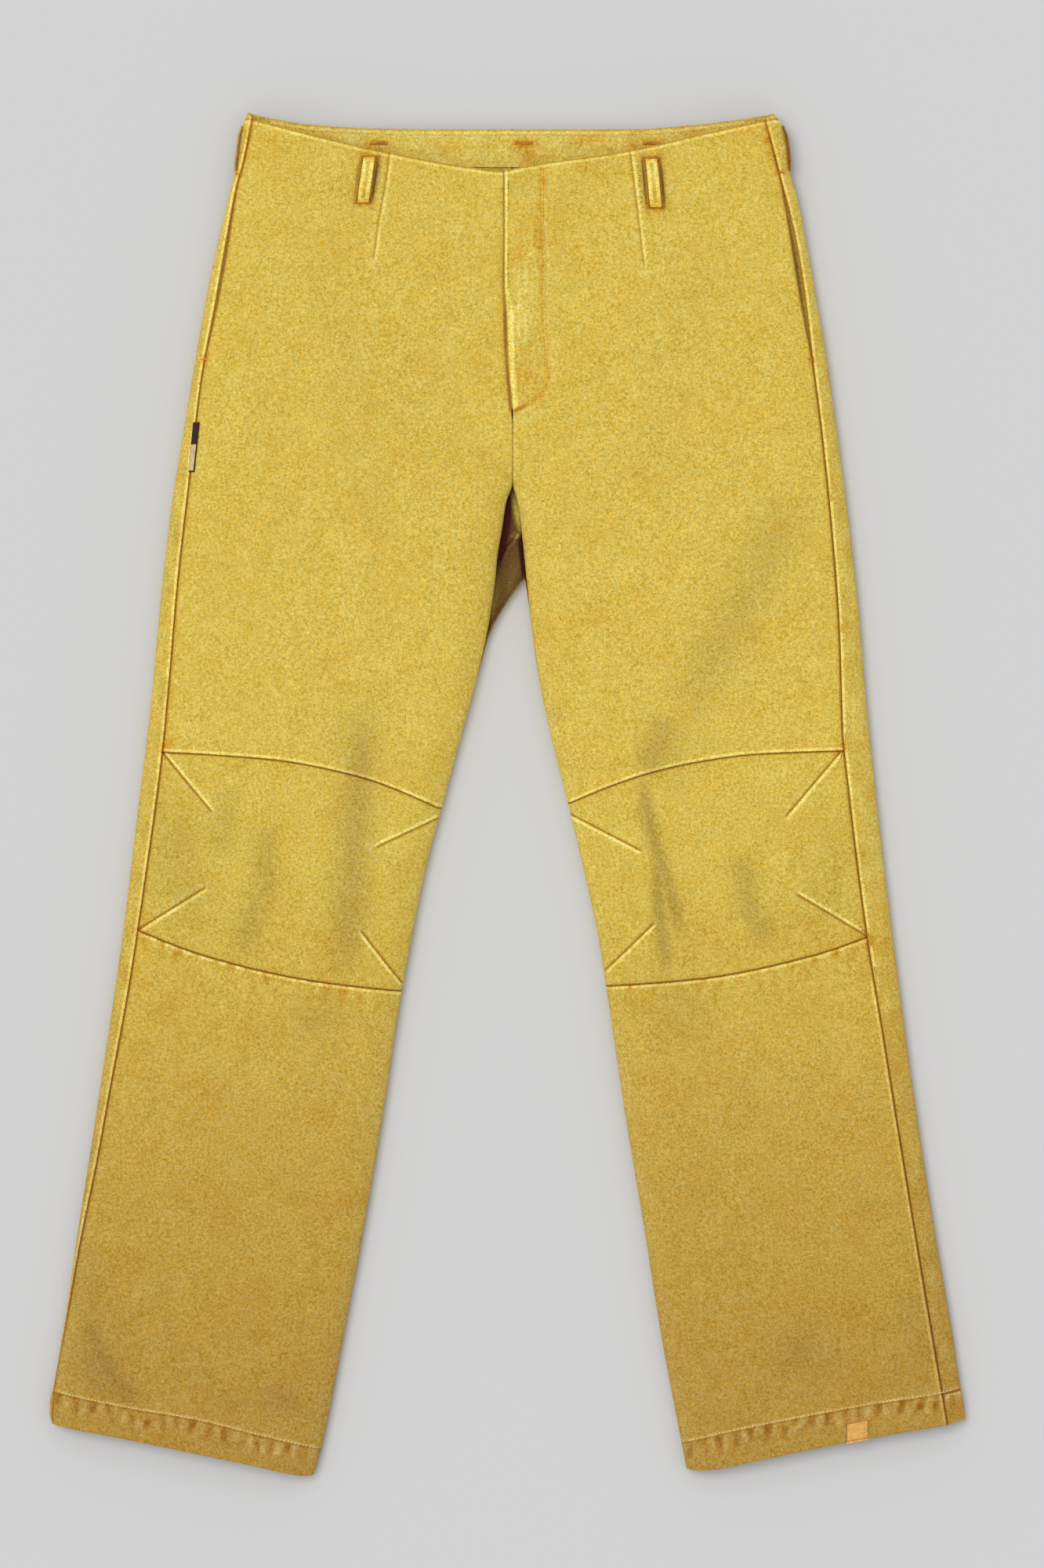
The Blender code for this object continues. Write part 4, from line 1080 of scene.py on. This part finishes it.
def make_fronts():
    top_edge = moved(front_waist, -0.2)
    for side, word in SIDE_NAMES:
        outer, inner = moved(side_seam[side], -side * GAP), right_inner if side < 0 else left_inner
        piece = front_piece(f"front_{word}_cloth", pocket_edge(side), inner, top_edge,
                            moved(upper_seam[side], GAP), FINE_STEP)
        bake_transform(piece)
        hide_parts(f"front_{word}_panel", f"thigh_front_{word}")
        knee = front_piece(f"knee_{word}_cloth", outer, front_inner[side],
                           moved(upper_seam[side], -GAP), moved(lower_seam[side], GAP), KNEE_STEP)
        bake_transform(knee)
        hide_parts(f"knee_panel_{word}")
        shin = front_piece(f"shin_{word}_cloth", outer, front_inner[side],
                           moved(lower_seam[side], -GAP), hem_edge[side], FINE_STEP)
        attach(shin, f"shin_{word}")
        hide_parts(f"shin_front_{word}")


def flap_grid():
    """Rows of the flap from the waist down, from its free edge to the hinge line."""
    v = spaced(FLAP_LONG, KNEE_STEP, EDGE_ROWS, (0, 1))[0][:, None]
    waist = moved(front_waist, -FLAP_DROP)
    edge_top = float(waist(-3.0))
    hinge_top = crossing(flap_line, waist, 495)
    edge_y = edge_top + (FLAP_EDGE_FOOT - edge_top) * v
    hinge_y = hinge_top + (FLAP_HINGE_FOOT - hinge_top) * v
    edge_x, hinge_x = fly_edge(edge_y), np.maximum(flap_line(hinge_y), FRONT_CROTCH[0])
    u = spaced(FLAP_WIDE, KNEE_STEP, EDGE_ROWS, (0, 1.6))
    x = edge_x * (1 - u) + hinge_x * u
    top_x = edge_x[0] * (1 - u) + hinge_x[0] * u
    bow = waist(top_x) - (edge_top * (1 - u) + hinge_top * u)
    y = edge_y * (1 - u) + hinge_y * u + (1 - v) ** 6 * bow
    return x, y, v, u, hinge_x - edge_x


def make_fly():
    x, y, v, u, wide = flap_grid()
    z = front_top(x, y) - 0.8 * bell(u * wide, 0.9) - 1.0 * bell(v * FLAP_LONG, 0.9)
    flap = cloth("fly_flap_cloth", grid_of(x, y, z), 1, thickness=FLAP_CLOTH)
    (x0, y0), (x1, y1) = FLAP_LINE
    long = math.hypot(x1 - x0, y1 - y0)
    middle = ((x0 + x1) / 2, (y0 + y1) / 2)
    end = (middle[0] - (y1 - y0) / long * FLAP_BLEND, middle[1] + (x1 - x0) / long * FLAP_BLEND)
    hinge = [(a * MM, b * MM, 0.024) for a, b in (middle, end)]
    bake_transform(flap)
    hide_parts("fly_flap")
    return hinge


# Columns of the back: beside the centre seam, beside a fold, and as shares of the way from the outer fold to
# the side seam. Near the waist and the hem, the rows past the fold slope to meet the front.
CENTRE_ROWS = (0, 0.8, 1.6, 2.4, 3.3, 4.3, 5.4, 6.6, 8, 9.5, 11, 12.6, 14.3, 16, 18, 21, 25)
FOLD_ROWS = (0, 0.25, 0.7, 1.4, 2.6, 4.4, 7)
WRAP_PARTS = np.array([0.02, 0.06, 0.13, 0.22, 0.34, 0.48, 0.62, 0.76, 0.88, 0.95, 1.0])
WRAP_REACH = 25


def back_grid(side, top, bottom, centre=None):
    """Rows from the inseam under the leg, round the outer fold and up to the side seam."""
    inner = centre or inner_edge[side]
    start = CENTRE_ROWS if centre else FOLD_ROWS
    step = BACK_STEP / 2 if centre else BACK_STEP
    x, y, _ = plan(inner, outer_edge[side], top, bottom, step, columns=(start, FOLD_ROWS))
    ripple = 0.5 * broad_waves(x + 900, y) * rise(back_inset(x, y), 50)
    z = back_height(x, y) + np.clip(ripple, 0, 2)
    if centre:
        z = z + 1.1 * bell(x - inner(y), 1.0)
    seam = side_seam[side](y[:, -1]) + side * GAP
    wrap_x = x[:, -1:] + (seam[:, None] - x[:, -1:]) * WRAP_PARTS
    fold_y = y[:, -1:]
    if centre:
        slope = front_waist(seam[:1]) - 0.4 - y[:1, -1]
        near_end = smooth(fold_y, y[0, -1] - WRAP_REACH, y[0, -1])
    else:
        slope = hem_edge[side](seam[-1:]) + 0.2 - y[-1:, -1]
        near_end = smooth(-fold_y, -y[-1, -1] - WRAP_REACH, -y[-1, -1])
    wrap_y = np.repeat(fold_y, len(WRAP_PARTS), 1) + slope * near_end * WRAP_PARTS
    from_seam = wrap_x - seam[:, None]
    ridge = 0.35 * bell(np.abs(from_seam) - 2, 1.4) - 0.7 * bell(from_seam, 0.6)
    wrap_z = front_height(wrap_x, wrap_y) + ridge
    upper = grid_of(wrap_x, wrap_y, wrap_z)
    rounds = [grid_of(x, y, z), upper]
    if centre:
        open_share = mouth_share(upper[:, -1, 1])
        for part in np.linspace(0.15, 1, TUCKED):
            under = upper[:, -1].copy()
            under[:, 0] -= side * (0.5 + 13 * open_share) * part
            under[:, 2] -= 0.9 + 2.2 * open_share * smooth(part, 0, 0.35)
            rounds.append(under[:, None])
    return np.concatenate(rounds, 1)


def mouth_share(y):
    """How far the pocket mouth stands open at a height, from 0 at its ends to 1 in its middle."""
    low, high = POCKET_MOUTH_Y
    return np.sin(math.pi * np.clip((y - low + 6) / (high - low + 12), 0, 1))


def centre_back(side):
    def read(y):
        above = CROTCH[0] + (CENTRE_BACK_X - CROTCH[0]) * smooth(y, CROTCH[1], CROTCH[1] + 160)
        return np.where(y < CROTCH[1], inner_edge[side](y), above + side * GAP)

    return read


def back_cloth(name, grid, tucked=0):
    """Back cloth is marked as front where it comes round over the side fold."""
    piece = cloth(name, grid, -1, face="back")
    rows, columns, _ = grid.shape
    x, y = grid.reshape(-1, 3)[:, :2].T
    lines, shows = seam_marks(x, y, "wrap")
    tint = tints(x, y, "front")
    column = np.arange(rows * columns) % columns
    in_pocket = column >= columns - tucked
    # The cloth tucked into the pocket mouth gets a little rust and painted shade, deepest where the mouth
    # stands open.
    tint[in_pocket] = [0.1, 1.0, 0]
    tint[in_pocket, 1] = 1.25 * mouth_share(y[in_pocket])
    over = column >= columns - WRAP - tucked
    for key, front in (("seams", lines), ("seams_on", shows), ("tint", tint)):
        data = piece.data.attributes[key].data
        back = np.zeros(len(data) * 3, np.float32)
        data.foreach_get("vector", back)
        back = np.where(over[:, None], front, back.reshape(-1, 3))
        data.foreach_set("vector", flat_floats(back))
    return piece


def make_backs():
    for side, word in SIDE_NAMES:
        grid = back_grid(side, back_waist, crossed(CUT_Y), centre_back(side))
        upper = back_cloth(f"back_upper_{word}_cloth", grid, TUCKED)
        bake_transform(upper)
        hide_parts(f"back_{word}_panel", f"thigh_back_{word}")
        grid = back_grid(side, crossed(CUT_Y), hem_edge[side])
        lower = back_cloth(f"back_lower_{word}_cloth", grid)
        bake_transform(lower)
        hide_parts(f"knee_back_{word}", f"shin_back_{word}")


# The two faces of a hem: which way each looks, its outer edge, and how far in its two ends stop.
HEM_FACES = (("front", 1, side_seam, 2, 4), ("back", -1, outer_edge, 8, 8))
HEM_STEP = 4


def make_hems():
    """The turned-up allowance inside each leg, front and back."""
    depth = CLOTH + 0.3
    few = (0, 4, 9)
    for side, word in SIDE_NAMES:
        top, bottom = moved(hem_edge[side], HEM_DEPTH), moved(hem_edge[side], 0.5)
        for face, outward, edge, from_outer, from_inner in HEM_FACES:
            outer, inner = moved(edge[side], -side * from_outer), moved(inner_edge[side], side * from_inner)
            x, y, _ = plan(outer, inner, top, bottom, HEM_STEP, rows=((0, 1), (0, 1)), columns=(few, few))
            if face == "front":
                z = np.minimum(front_top(x, y), front_height(x, y)) - depth - 0.4
            else:
                z = back_height(x, y) + depth + 2.0
            piece = cloth(f"hem_{face}_{word}_turnup", grid_of(x, y, z), outward, FACING, face=face)
            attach(piece, f"shin_{word}")
            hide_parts(f"hem_{face}_{word}")


def make_facings():
    depth = CLOTH + 0.4
    top, bottom = moved(front_waist, -1.4), moved(front_waist, -FACING_DEPTH)
    near_edge = (0, 1, 3)
    for side, word, end in ((-1, "right", -24), (1, "left", 70)):
        x, y, _ = plan(moved(side_seam[side], -side * 3), crossed(end), top, bottom, 4,
                       rows=(near_edge, near_edge), columns=(near_edge, near_edge))
        z = front_height(x, y) - depth - 0.5 + 0.2 * small_waves(x, y)
        piece = cloth(f"waist_facing_front_{word}_cloth", grid_of(x, y, z), 1, FACING,
                      face="back")
        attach(piece, "seat")
        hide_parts(f"waist_facing_front_{word}")
    top, bottom = moved(back_waist, -0.8), moved(back_waist, -FACING_DEPTH)
    x, y, _ = plan(crossed(-188), crossed(188), top, bottom, 2.5,
                   rows=(EDGE_ROWS, near_edge), columns=(near_edge, near_edge))
    groove = 0.5 * bell(back_waist(x) - 4.2 - y, 1.0)
    z = back_height(x, y) + depth + 0.3 * small_waves(x + 300, y) - groove
    piece = cloth("waist_facing_back_cloth", grid_of(x, y, z), -1, FACING,
                  face="facing", looks=(canvas, canvas))
    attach(piece, "seat")
    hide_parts("waist_facing_back")


def make_pocket_bags():
    """Flat bags, each one strip of cloth folded round at its lower end, with soft sides."""
    near_side, far_side = POCKET_BAG["inset"]
    top, bottom = POCKET_BAG["top"], POCKET_BAG["bottom"]
    rows, half_round = 26, 40
    part = np.linspace(0, 1, rows)[:, None]
    down = np.concatenate([np.linspace(0, 1, half_round), np.linspace(1, 0, half_round)])[None]
    roof = np.repeat([True, False], half_round)[None]
    pinch = np.sqrt(np.minimum(1, (1 - down) / 0.1)) * np.sqrt(np.minimum(1, (1 - part) / 0.08 + 0.08))
    for side, word in SIDE_NAMES:
        y = top + (bottom - top) * down + 0 * part
        x = outer_edge[side](y) - side * (near_side + 1 + (far_side - near_side - 2) * part)
        high, low = front_height(x, y) - CLOTH - 2.2, POCKET_BAG["floor"] + 0.9
        middle = (high + low) / 2
        z = np.where(roof, middle + (high - middle) * pinch, middle - (middle - low) * pinch)
        piece = cloth(f"pocket_bag_{word}_cloth", grid_of(x, y, z), 1, 0.7, face="back",
                      plain=True, looks=(canvas_inside, canvas_inside))
        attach(piece, "seat")
        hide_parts(f"pocket_bag_{word}")


def patch(name, node, look, body, thickness, crown=0.3, step=1.5, slope=0.0):
    """A flat cloth piece with softened edges, in the place of its CAD node."""
    low, high = (np.array(c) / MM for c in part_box(node))
    wide, long = high[0] - low[0], high[1] - low[1]
    columns = spaced(wide, step, (0, 0.5), (0, 0.5))[0]
    rows = spaced(long, step, (0, 0.5), (0, 0.5))[0]
    u, v = np.meshgrid(columns, rows)
    x, y = low[0] + wide * u, high[1] - long * v
    edge = np.minimum(np.minimum(u, 1 - u) * wide, np.minimum(v, 1 - v) * long)
    z = high[2] - crown * (1 - smooth(edge, 0, 2.5)) + 0.1 * small_waves(x * 2, y * 2)
    if slope:
        y = y + slope * (x - (low[0] + high[0]) / 2)
        z = front_top(x, y) + thickness + 0.3 - crown * (1 - smooth(edge, 0, 1.5))
    piece = cloth(name, grid_of(x, y, z), 1, thickness, (look, look), plain=True)
    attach(piece, body)
    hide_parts(node)
    return piece


def make_fly_inside():
    patch("fly_shield_cloth", "fly_shield", canvas_inside, "seat", 1.1, step=3)
    patch("waist_tab_cloth", "waist_tab", canvas_inside, "seat", 1.0)
    for word in ("right", "left"):
        patch(f"zip_tape_{word}_weave", f"zip_tape_{word}", tape_look, "seat", 0.5, crown=0.1)
    for node in ("zip_teeth_right", "zip_teeth_left", "zip_slider", "zip_pull", "zip_stop", "snap_stud",
                 "snap_socket"):
        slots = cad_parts[node].material_slots
        if not slots:
            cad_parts[node].data.materials.append(brass)
        for slot in slots:
            slot.material = brass


# Belt loops: their width and thickness, how far they stand off the cloth, and the height of the side ones.
LOOP_WIDTH, LOOP_CLOTH = 12, 1.4
LOOP_GAP, SIDE_LOOP_GAP = 3.2, 0.7
SIDE_LOOP_Z = 11


def loop_lift(along, length, gap):
    """A loop lies flat where it is sewn down, and stands off the cloth between."""
    return gap * smooth(along, 3.2, 8) * smooth(length - along, 3.2, 8)


def belt_loop(word, top, bottom, surface, wide, out, gap=LOOP_GAP, edge_marks_and_shade=1.0):
    """A folded strip with two stitched grooves, sewn down at both ends."""
    length = math.hypot(top[0] - bottom[0], top[1] - bottom[1])
    first, last = np.array([0, 0.5, 1.1]), np.array([length - 1.1, length - 0.5, length])
    along = np.concatenate([first, np.linspace(2, length - 2, 44), last])
    side = np.concatenate([[-1, -0.95, -0.86], np.linspace(-0.74, 0.74, 15), [0.86, 0.95, 1]])
    part, lateral = np.meshgrid(along / length, side, indexing="ij")
    x = top[0] + (bottom[0] - top[0]) * part + wide[0] * lateral * LOOP_WIDTH / 2
    y = top[1] + (bottom[1] - top[1]) * part
    base_x, base_z = surface(x, y)
    ends = np.minimum(part, 1 - part) * length
    shape = -0.5 * bell(1 - np.abs(lateral), 0.07) - 0.35 * bell(np.abs(lateral) - 0.68, 0.09)
    shape = shape - 0.5 * bell(ends, 0.7) - 0.35 * bell(ends - 2.2, 0.8)
    reach = loop_lift(part * length, length, gap) + 0.3 + LOOP_CLOTH + shape
    z = base_z + out[2] * reach + wide[2] * lateral * LOOP_WIDTH / 2
    grid = grid_of(base_x + out[0] * reach, y, z)
    outward, facing = (out[2], 2) if out[2] else (out[0], 0)
    piece = cloth(f"belt_loop_{word}_cloth", grid, outward, 1.2, plain=True,
                  facing=facing, looks=(canvas, canvas))
    distance = (1 - np.abs(lateral)) * LOOP_WIDTH / 2
    border = (np.minimum(distance, ends) * 0.8 - 0.5).ravel()
    none = border * 0
    add_vector(piece.data, "seams", grid_of(border, none + 9, none + 9))
    add_vector(piece.data, "seams_on", grid_of(none + 1.6 * edge_marks_and_shade, none, none))
    rust = np.clip(0.6 * bell(distance - 0.4, 1.0) + 0.8 * bell(ends - 2.6, 1.6), 0, 1)
    rust = edge_marks_and_shade * np.maximum(rust, 0.45 * bell(part - 0.72, 0.16) * bell(lateral, 0.7))
    # A lighter band across the loop's upper part.
    worn_and_lit = 0.3 * bell(part - 0.25, 0.2) * bell(lateral, 0.6)
    # Painted shade along the loop's edges, a little deeper on one side.
    dark = 0.9 * edge_marks_and_shade * bell(distance, 0.8) * (0.8 + 0.2 * np.sign(lateral))
    add_vector(piece.data, "tint", grid_of(rust, dark, worn_and_lit))
    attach(piece, "seat")
    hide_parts(f"belt_loop_{word}")
    return piece


def make_belt_loops():
    def on_front(x, y):
        return x, table_at(FRONT_HEIGHT, y)

    def under_back(x, y):
        return x, table_at(BACK_LIFT, y)

    belt_loop("front_right", (-109, 506), (-114.5, 467.5), on_front, (1, 0, 0), (0, 0, 1))
    belt_loop("front_left", (113.5, 504.5), (117.5, 463.5), on_front, (1, 0, 0), (0, 0, 1))
    for word, x in (("right", -102), ("centre", 13), ("left", 114)):
        belt_loop(f"back_{word}", (x, 519), (x, 484), under_back, (1, 0, 0), (0, 0, -1))
    for side, word in SIDE_NAMES:
        def at_side(_, y, side=side):
            return outer_edge[side](y) - side * 0.5, np.full(np.shape(y), float(SIDE_LOOP_Z))

        belt_loop(f"side_{word}", (0, 530), (0, 495), at_side, (0, 0, 1), (side, 0, 0), SIDE_LOOP_GAP,
                  edge_marks_and_shade=0.7 + 0.4 * side)


# The two side tags: name, CAD node, look and slot, then y and the x of both sides, each at the top and at
# the lower end, and how far the tag stands off the cloth.
SIDE_TAGS = (
    ("side_tag_brown", "side_tag", brown_look, "tag_brown",
     (295.2, 255.8), (-249.0, -252.4), (-243.5, -247.6), 1.3),
    ("side_tag_cream", "side_tag_tip", cream_look, "tag_cream",
     (277.6, 257), (-250.2, -252.2), (-246.4, -248.6), 1.9),
)


def make_labels():
    patch("hem_label_patch", "hem_label", tan_look, "shin_left", 0.5, crown=0.15, step=1,
          slope=0.19)
    for name, node, look, slot, ends, left, right, proud in SIDE_TAGS:
        v, u = np.meshgrid(np.linspace(0, 1, 16), np.linspace(0, 1, 9), indexing="ij")
        y = ends[0] + (ends[1] - ends[0]) * v
        x_left, x_right = left[0] + (left[1] - left[0]) * v, right[0] + (right[1] - right[0]) * v
        x = x_left + (x_right - x_left) * u
        z = front_height(x, y) + proud + 0.25 * np.sin(u * math.pi)
        piece = cloth(name, grid_of(x, y, z), 1, 0.5, (look, look), plain=True)
        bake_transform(piece)
        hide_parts(node)


# Thread.


# Points along a stitch and round it.
STATIONS, AROUND = 7, 6


def stitches(name, paths, surface, look, pitch=3.0, length=2.2, width=0.55, height=0.4, turn=0.0):
    """Rows of single stitches that follow paths over a surface, each an arched strand."""
    centres, headings = [], []
    for path in paths:
        points = np.array(path, float)
        steps = np.diff(points, axis=0)
        lengths = np.hypot(*steps.T)
        gone = np.concatenate([[0], np.cumsum(lengths)])
        places = np.arange(pitch / 2, gone[-1], pitch)
        index = np.clip(np.searchsorted(gone, places) - 1, 0, len(steps) - 1)
        share = (places - gone[index]) / lengths[index]
        centres.append(points[index] + steps[index] * share[:, None])
        headings.append(np.arctan2(steps[index, 1], steps[index, 0]) + turn)
    centre, heading = np.concatenate(centres), np.concatenate(headings)
    around = np.arange(AROUND) * 2 * math.pi / AROUND
    s, a = np.meshgrid(np.linspace(-1, 1, STATIONS), around, indexing="ij")
    thick = np.sqrt(np.clip(1.02 - s**2, 0.02, 1))
    along, lateral = s * length / 2, np.cos(a) * width / 2 * thick
    up = np.sin(a) * width / 2 * thick + height * (1 - s**2) - 0.1
    cos, sin = np.cos(heading)[:, None], np.sin(heading)[:, None]
    x = centre[:, :1] + along.ravel() * cos - lateral.ravel() * sin
    y = centre[:, 1:] + along.ravel() * sin + lateral.ravel() * cos
    z = surface(x, y) + up.ravel()
    one = []
    for low in range(0, s.size - AROUND, AROUND):
        for j in range(AROUND):
            k, high = (j + 1) % AROUND, low + AROUND
            one.append((low + j, high + j, high + k, low + k))
    one += [tuple(range(AROUND)), tuple(reversed(range(s.size - AROUND, s.size)))]
    faces = [tuple(base + v for v in face) for base in range(0, x.size, s.size) for face in one]
    obj = new_object(name, grid_of(x.ravel(), y.ravel(), z.ravel()), faces, (look,))
    return obj


def sampled(function, low, high, count=60):
    x = np.linspace(low, high, count)
    return list(zip(x, function(x)))


def make_thread():
    def on_front(x, y):
        return front_top(x, y) - 0.05

    def on_label(x, y):
        return front_top(x, y) + 0.75

    for side, word in SIDE_NAMES:
        ends = sorted((HEM_STITCH[side][0][0], HEM_STITCH[side][-1][0]))
        line = sampled(hem_stitch[side], ends[0] + 4, ends[1] - 4, 90)
        piece = stitches(f"hem_thread_{word}", [line], on_front, pale_thread, width=0.9, length=2.6)
        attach(piece, f"shin_{word}")
    piece = stitches("fly_thread", [FLY_STITCH[:-1], [(x + 2.6, y) for x, y in FLY_STITCH[:5]]], on_front,
                     rust_thread, pitch=2.8, width=0.45, height=0.3)
    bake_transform(piece)
    corners = [(268.6, -497.4), (285.2, -494.4), (285, -508.2), (268.4, -511.2), (268.6, -497.4)]
    edge = list(zip(corners, corners[1:]))
    piece = stitches("hem_label_thread", edge, on_label, brown_thread, 1.6, 1.5, 0.5, 0.3)
    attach(piece, "shin_left")
    tacks = [((4.5, 303.5), (14.5, 308.6))]
    piece = stitches("fly_bartack", tacks, on_front, rust_thread, 0.5, 3.2, 0.6, 0.6, turn=math.pi / 2)
    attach(piece, "seat")
    tacks = [((-216, 492), (-210, 491.5)), ((213, 492.5), (219.5, 493)), ((-243, 345), (-237.5, 345.5)),
             ((237.5, 345), (243, 344.5)), ((-115, 505.2), (-103, 502.6)), ((108.5, 504.4), (119.5, 505.2))]
    piece = stitches("seat_bartacks", tacks, on_front, rust_thread, 0.5, 1.8, 0.5, 0.5, turn=math.pi / 2)
    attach(piece, "seat")

    def on_facing(x, y):
        return back_height(x, y) + CLOTH + 0.4 + FACING + 0.3

    line = sampled(lambda x: back_waist(x) - 4.2, -196, 196, 100)
    piece = stitches("waist_thread", [line], on_facing, pale_thread)
    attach(piece, "seat")
    tacks = [((x - 7, 517), (x + 7, 517)) for x in (-102, 13, 114)]
    piece = stitches("back_loop_bartacks", tacks, on_facing, rust_thread, 0.5, 3.0, 0.6, 0.5,
                     turn=math.pi / 2)
    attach(piece, "seat")


# Floor, light and camera: places in metres, turns in degrees, and the lens in millimetres.

FLOOR_SIZE, FLOOR_Z, FLOOR_GREY = 12, -0.0015, 0.66
SUN_STRENGTH, SUN_SPREAD, SUN_TURN = 1.15, 35, (-12, -18)
SKY_STRENGTH = 0.65
CAMERA_PLACE = (0.0115, 0.009, 6.222)
LENS, SENSOR = 180, 36


def make_stage():
    bpy.ops.mesh.primitive_plane_add(size=FLOOR_SIZE, location=(0, 0, FLOOR_Z))
    floor = bpy.context.object
    floor.name = "studio_floor"
    look = Material("pale_floor", Roughness=0.95, Specular_IOR_Level=0.0)
    look.shader.inputs["Base Color"].default_value = (FLOOR_GREY, FLOOR_GREY, FLOOR_GREY, 1)
    floor.data.materials.append(look.made)
    sun = bpy.data.lights.new("key", "SUN")
    sun.energy = SUN_STRENGTH
    sun.angle = math.radians(SUN_SPREAD)
    key = bpy.data.objects.new("key", sun)
    key.rotation_euler = (*map(math.radians, SUN_TURN), 0)
    bpy.context.scene.collection.objects.link(key)
    world = bpy.data.worlds.new("studio")
    world.use_nodes = True
    sky = world.node_tree.nodes["Background"]
    sky.inputs[0].default_value = (1, 1, 1, 1)
    sky.inputs[1].default_value = SKY_STRENGTH
    bpy.context.scene.world = world
    bpy.context.scene.view_settings.view_transform = "Standard"


def make_camera():
    """Straight above the garment, far enough back to flatten it."""
    data = bpy.data.cameras.new("camera")
    data.lens = LENS
    data.sensor_width = SENSOR
    camera = bpy.data.objects.new("camera", data)
    camera.location = CAMERA_PLACE
    bpy.context.scene.collection.objects.link(camera)
    bpy.context.scene.camera = camera


make_stage()
make_camera()
make_fronts()
fly_hinge = make_fly()
make_backs()
make_hems()
make_facings()
make_pocket_bags()
make_fly_inside()
make_belt_loops()
make_labels()
make_thread()
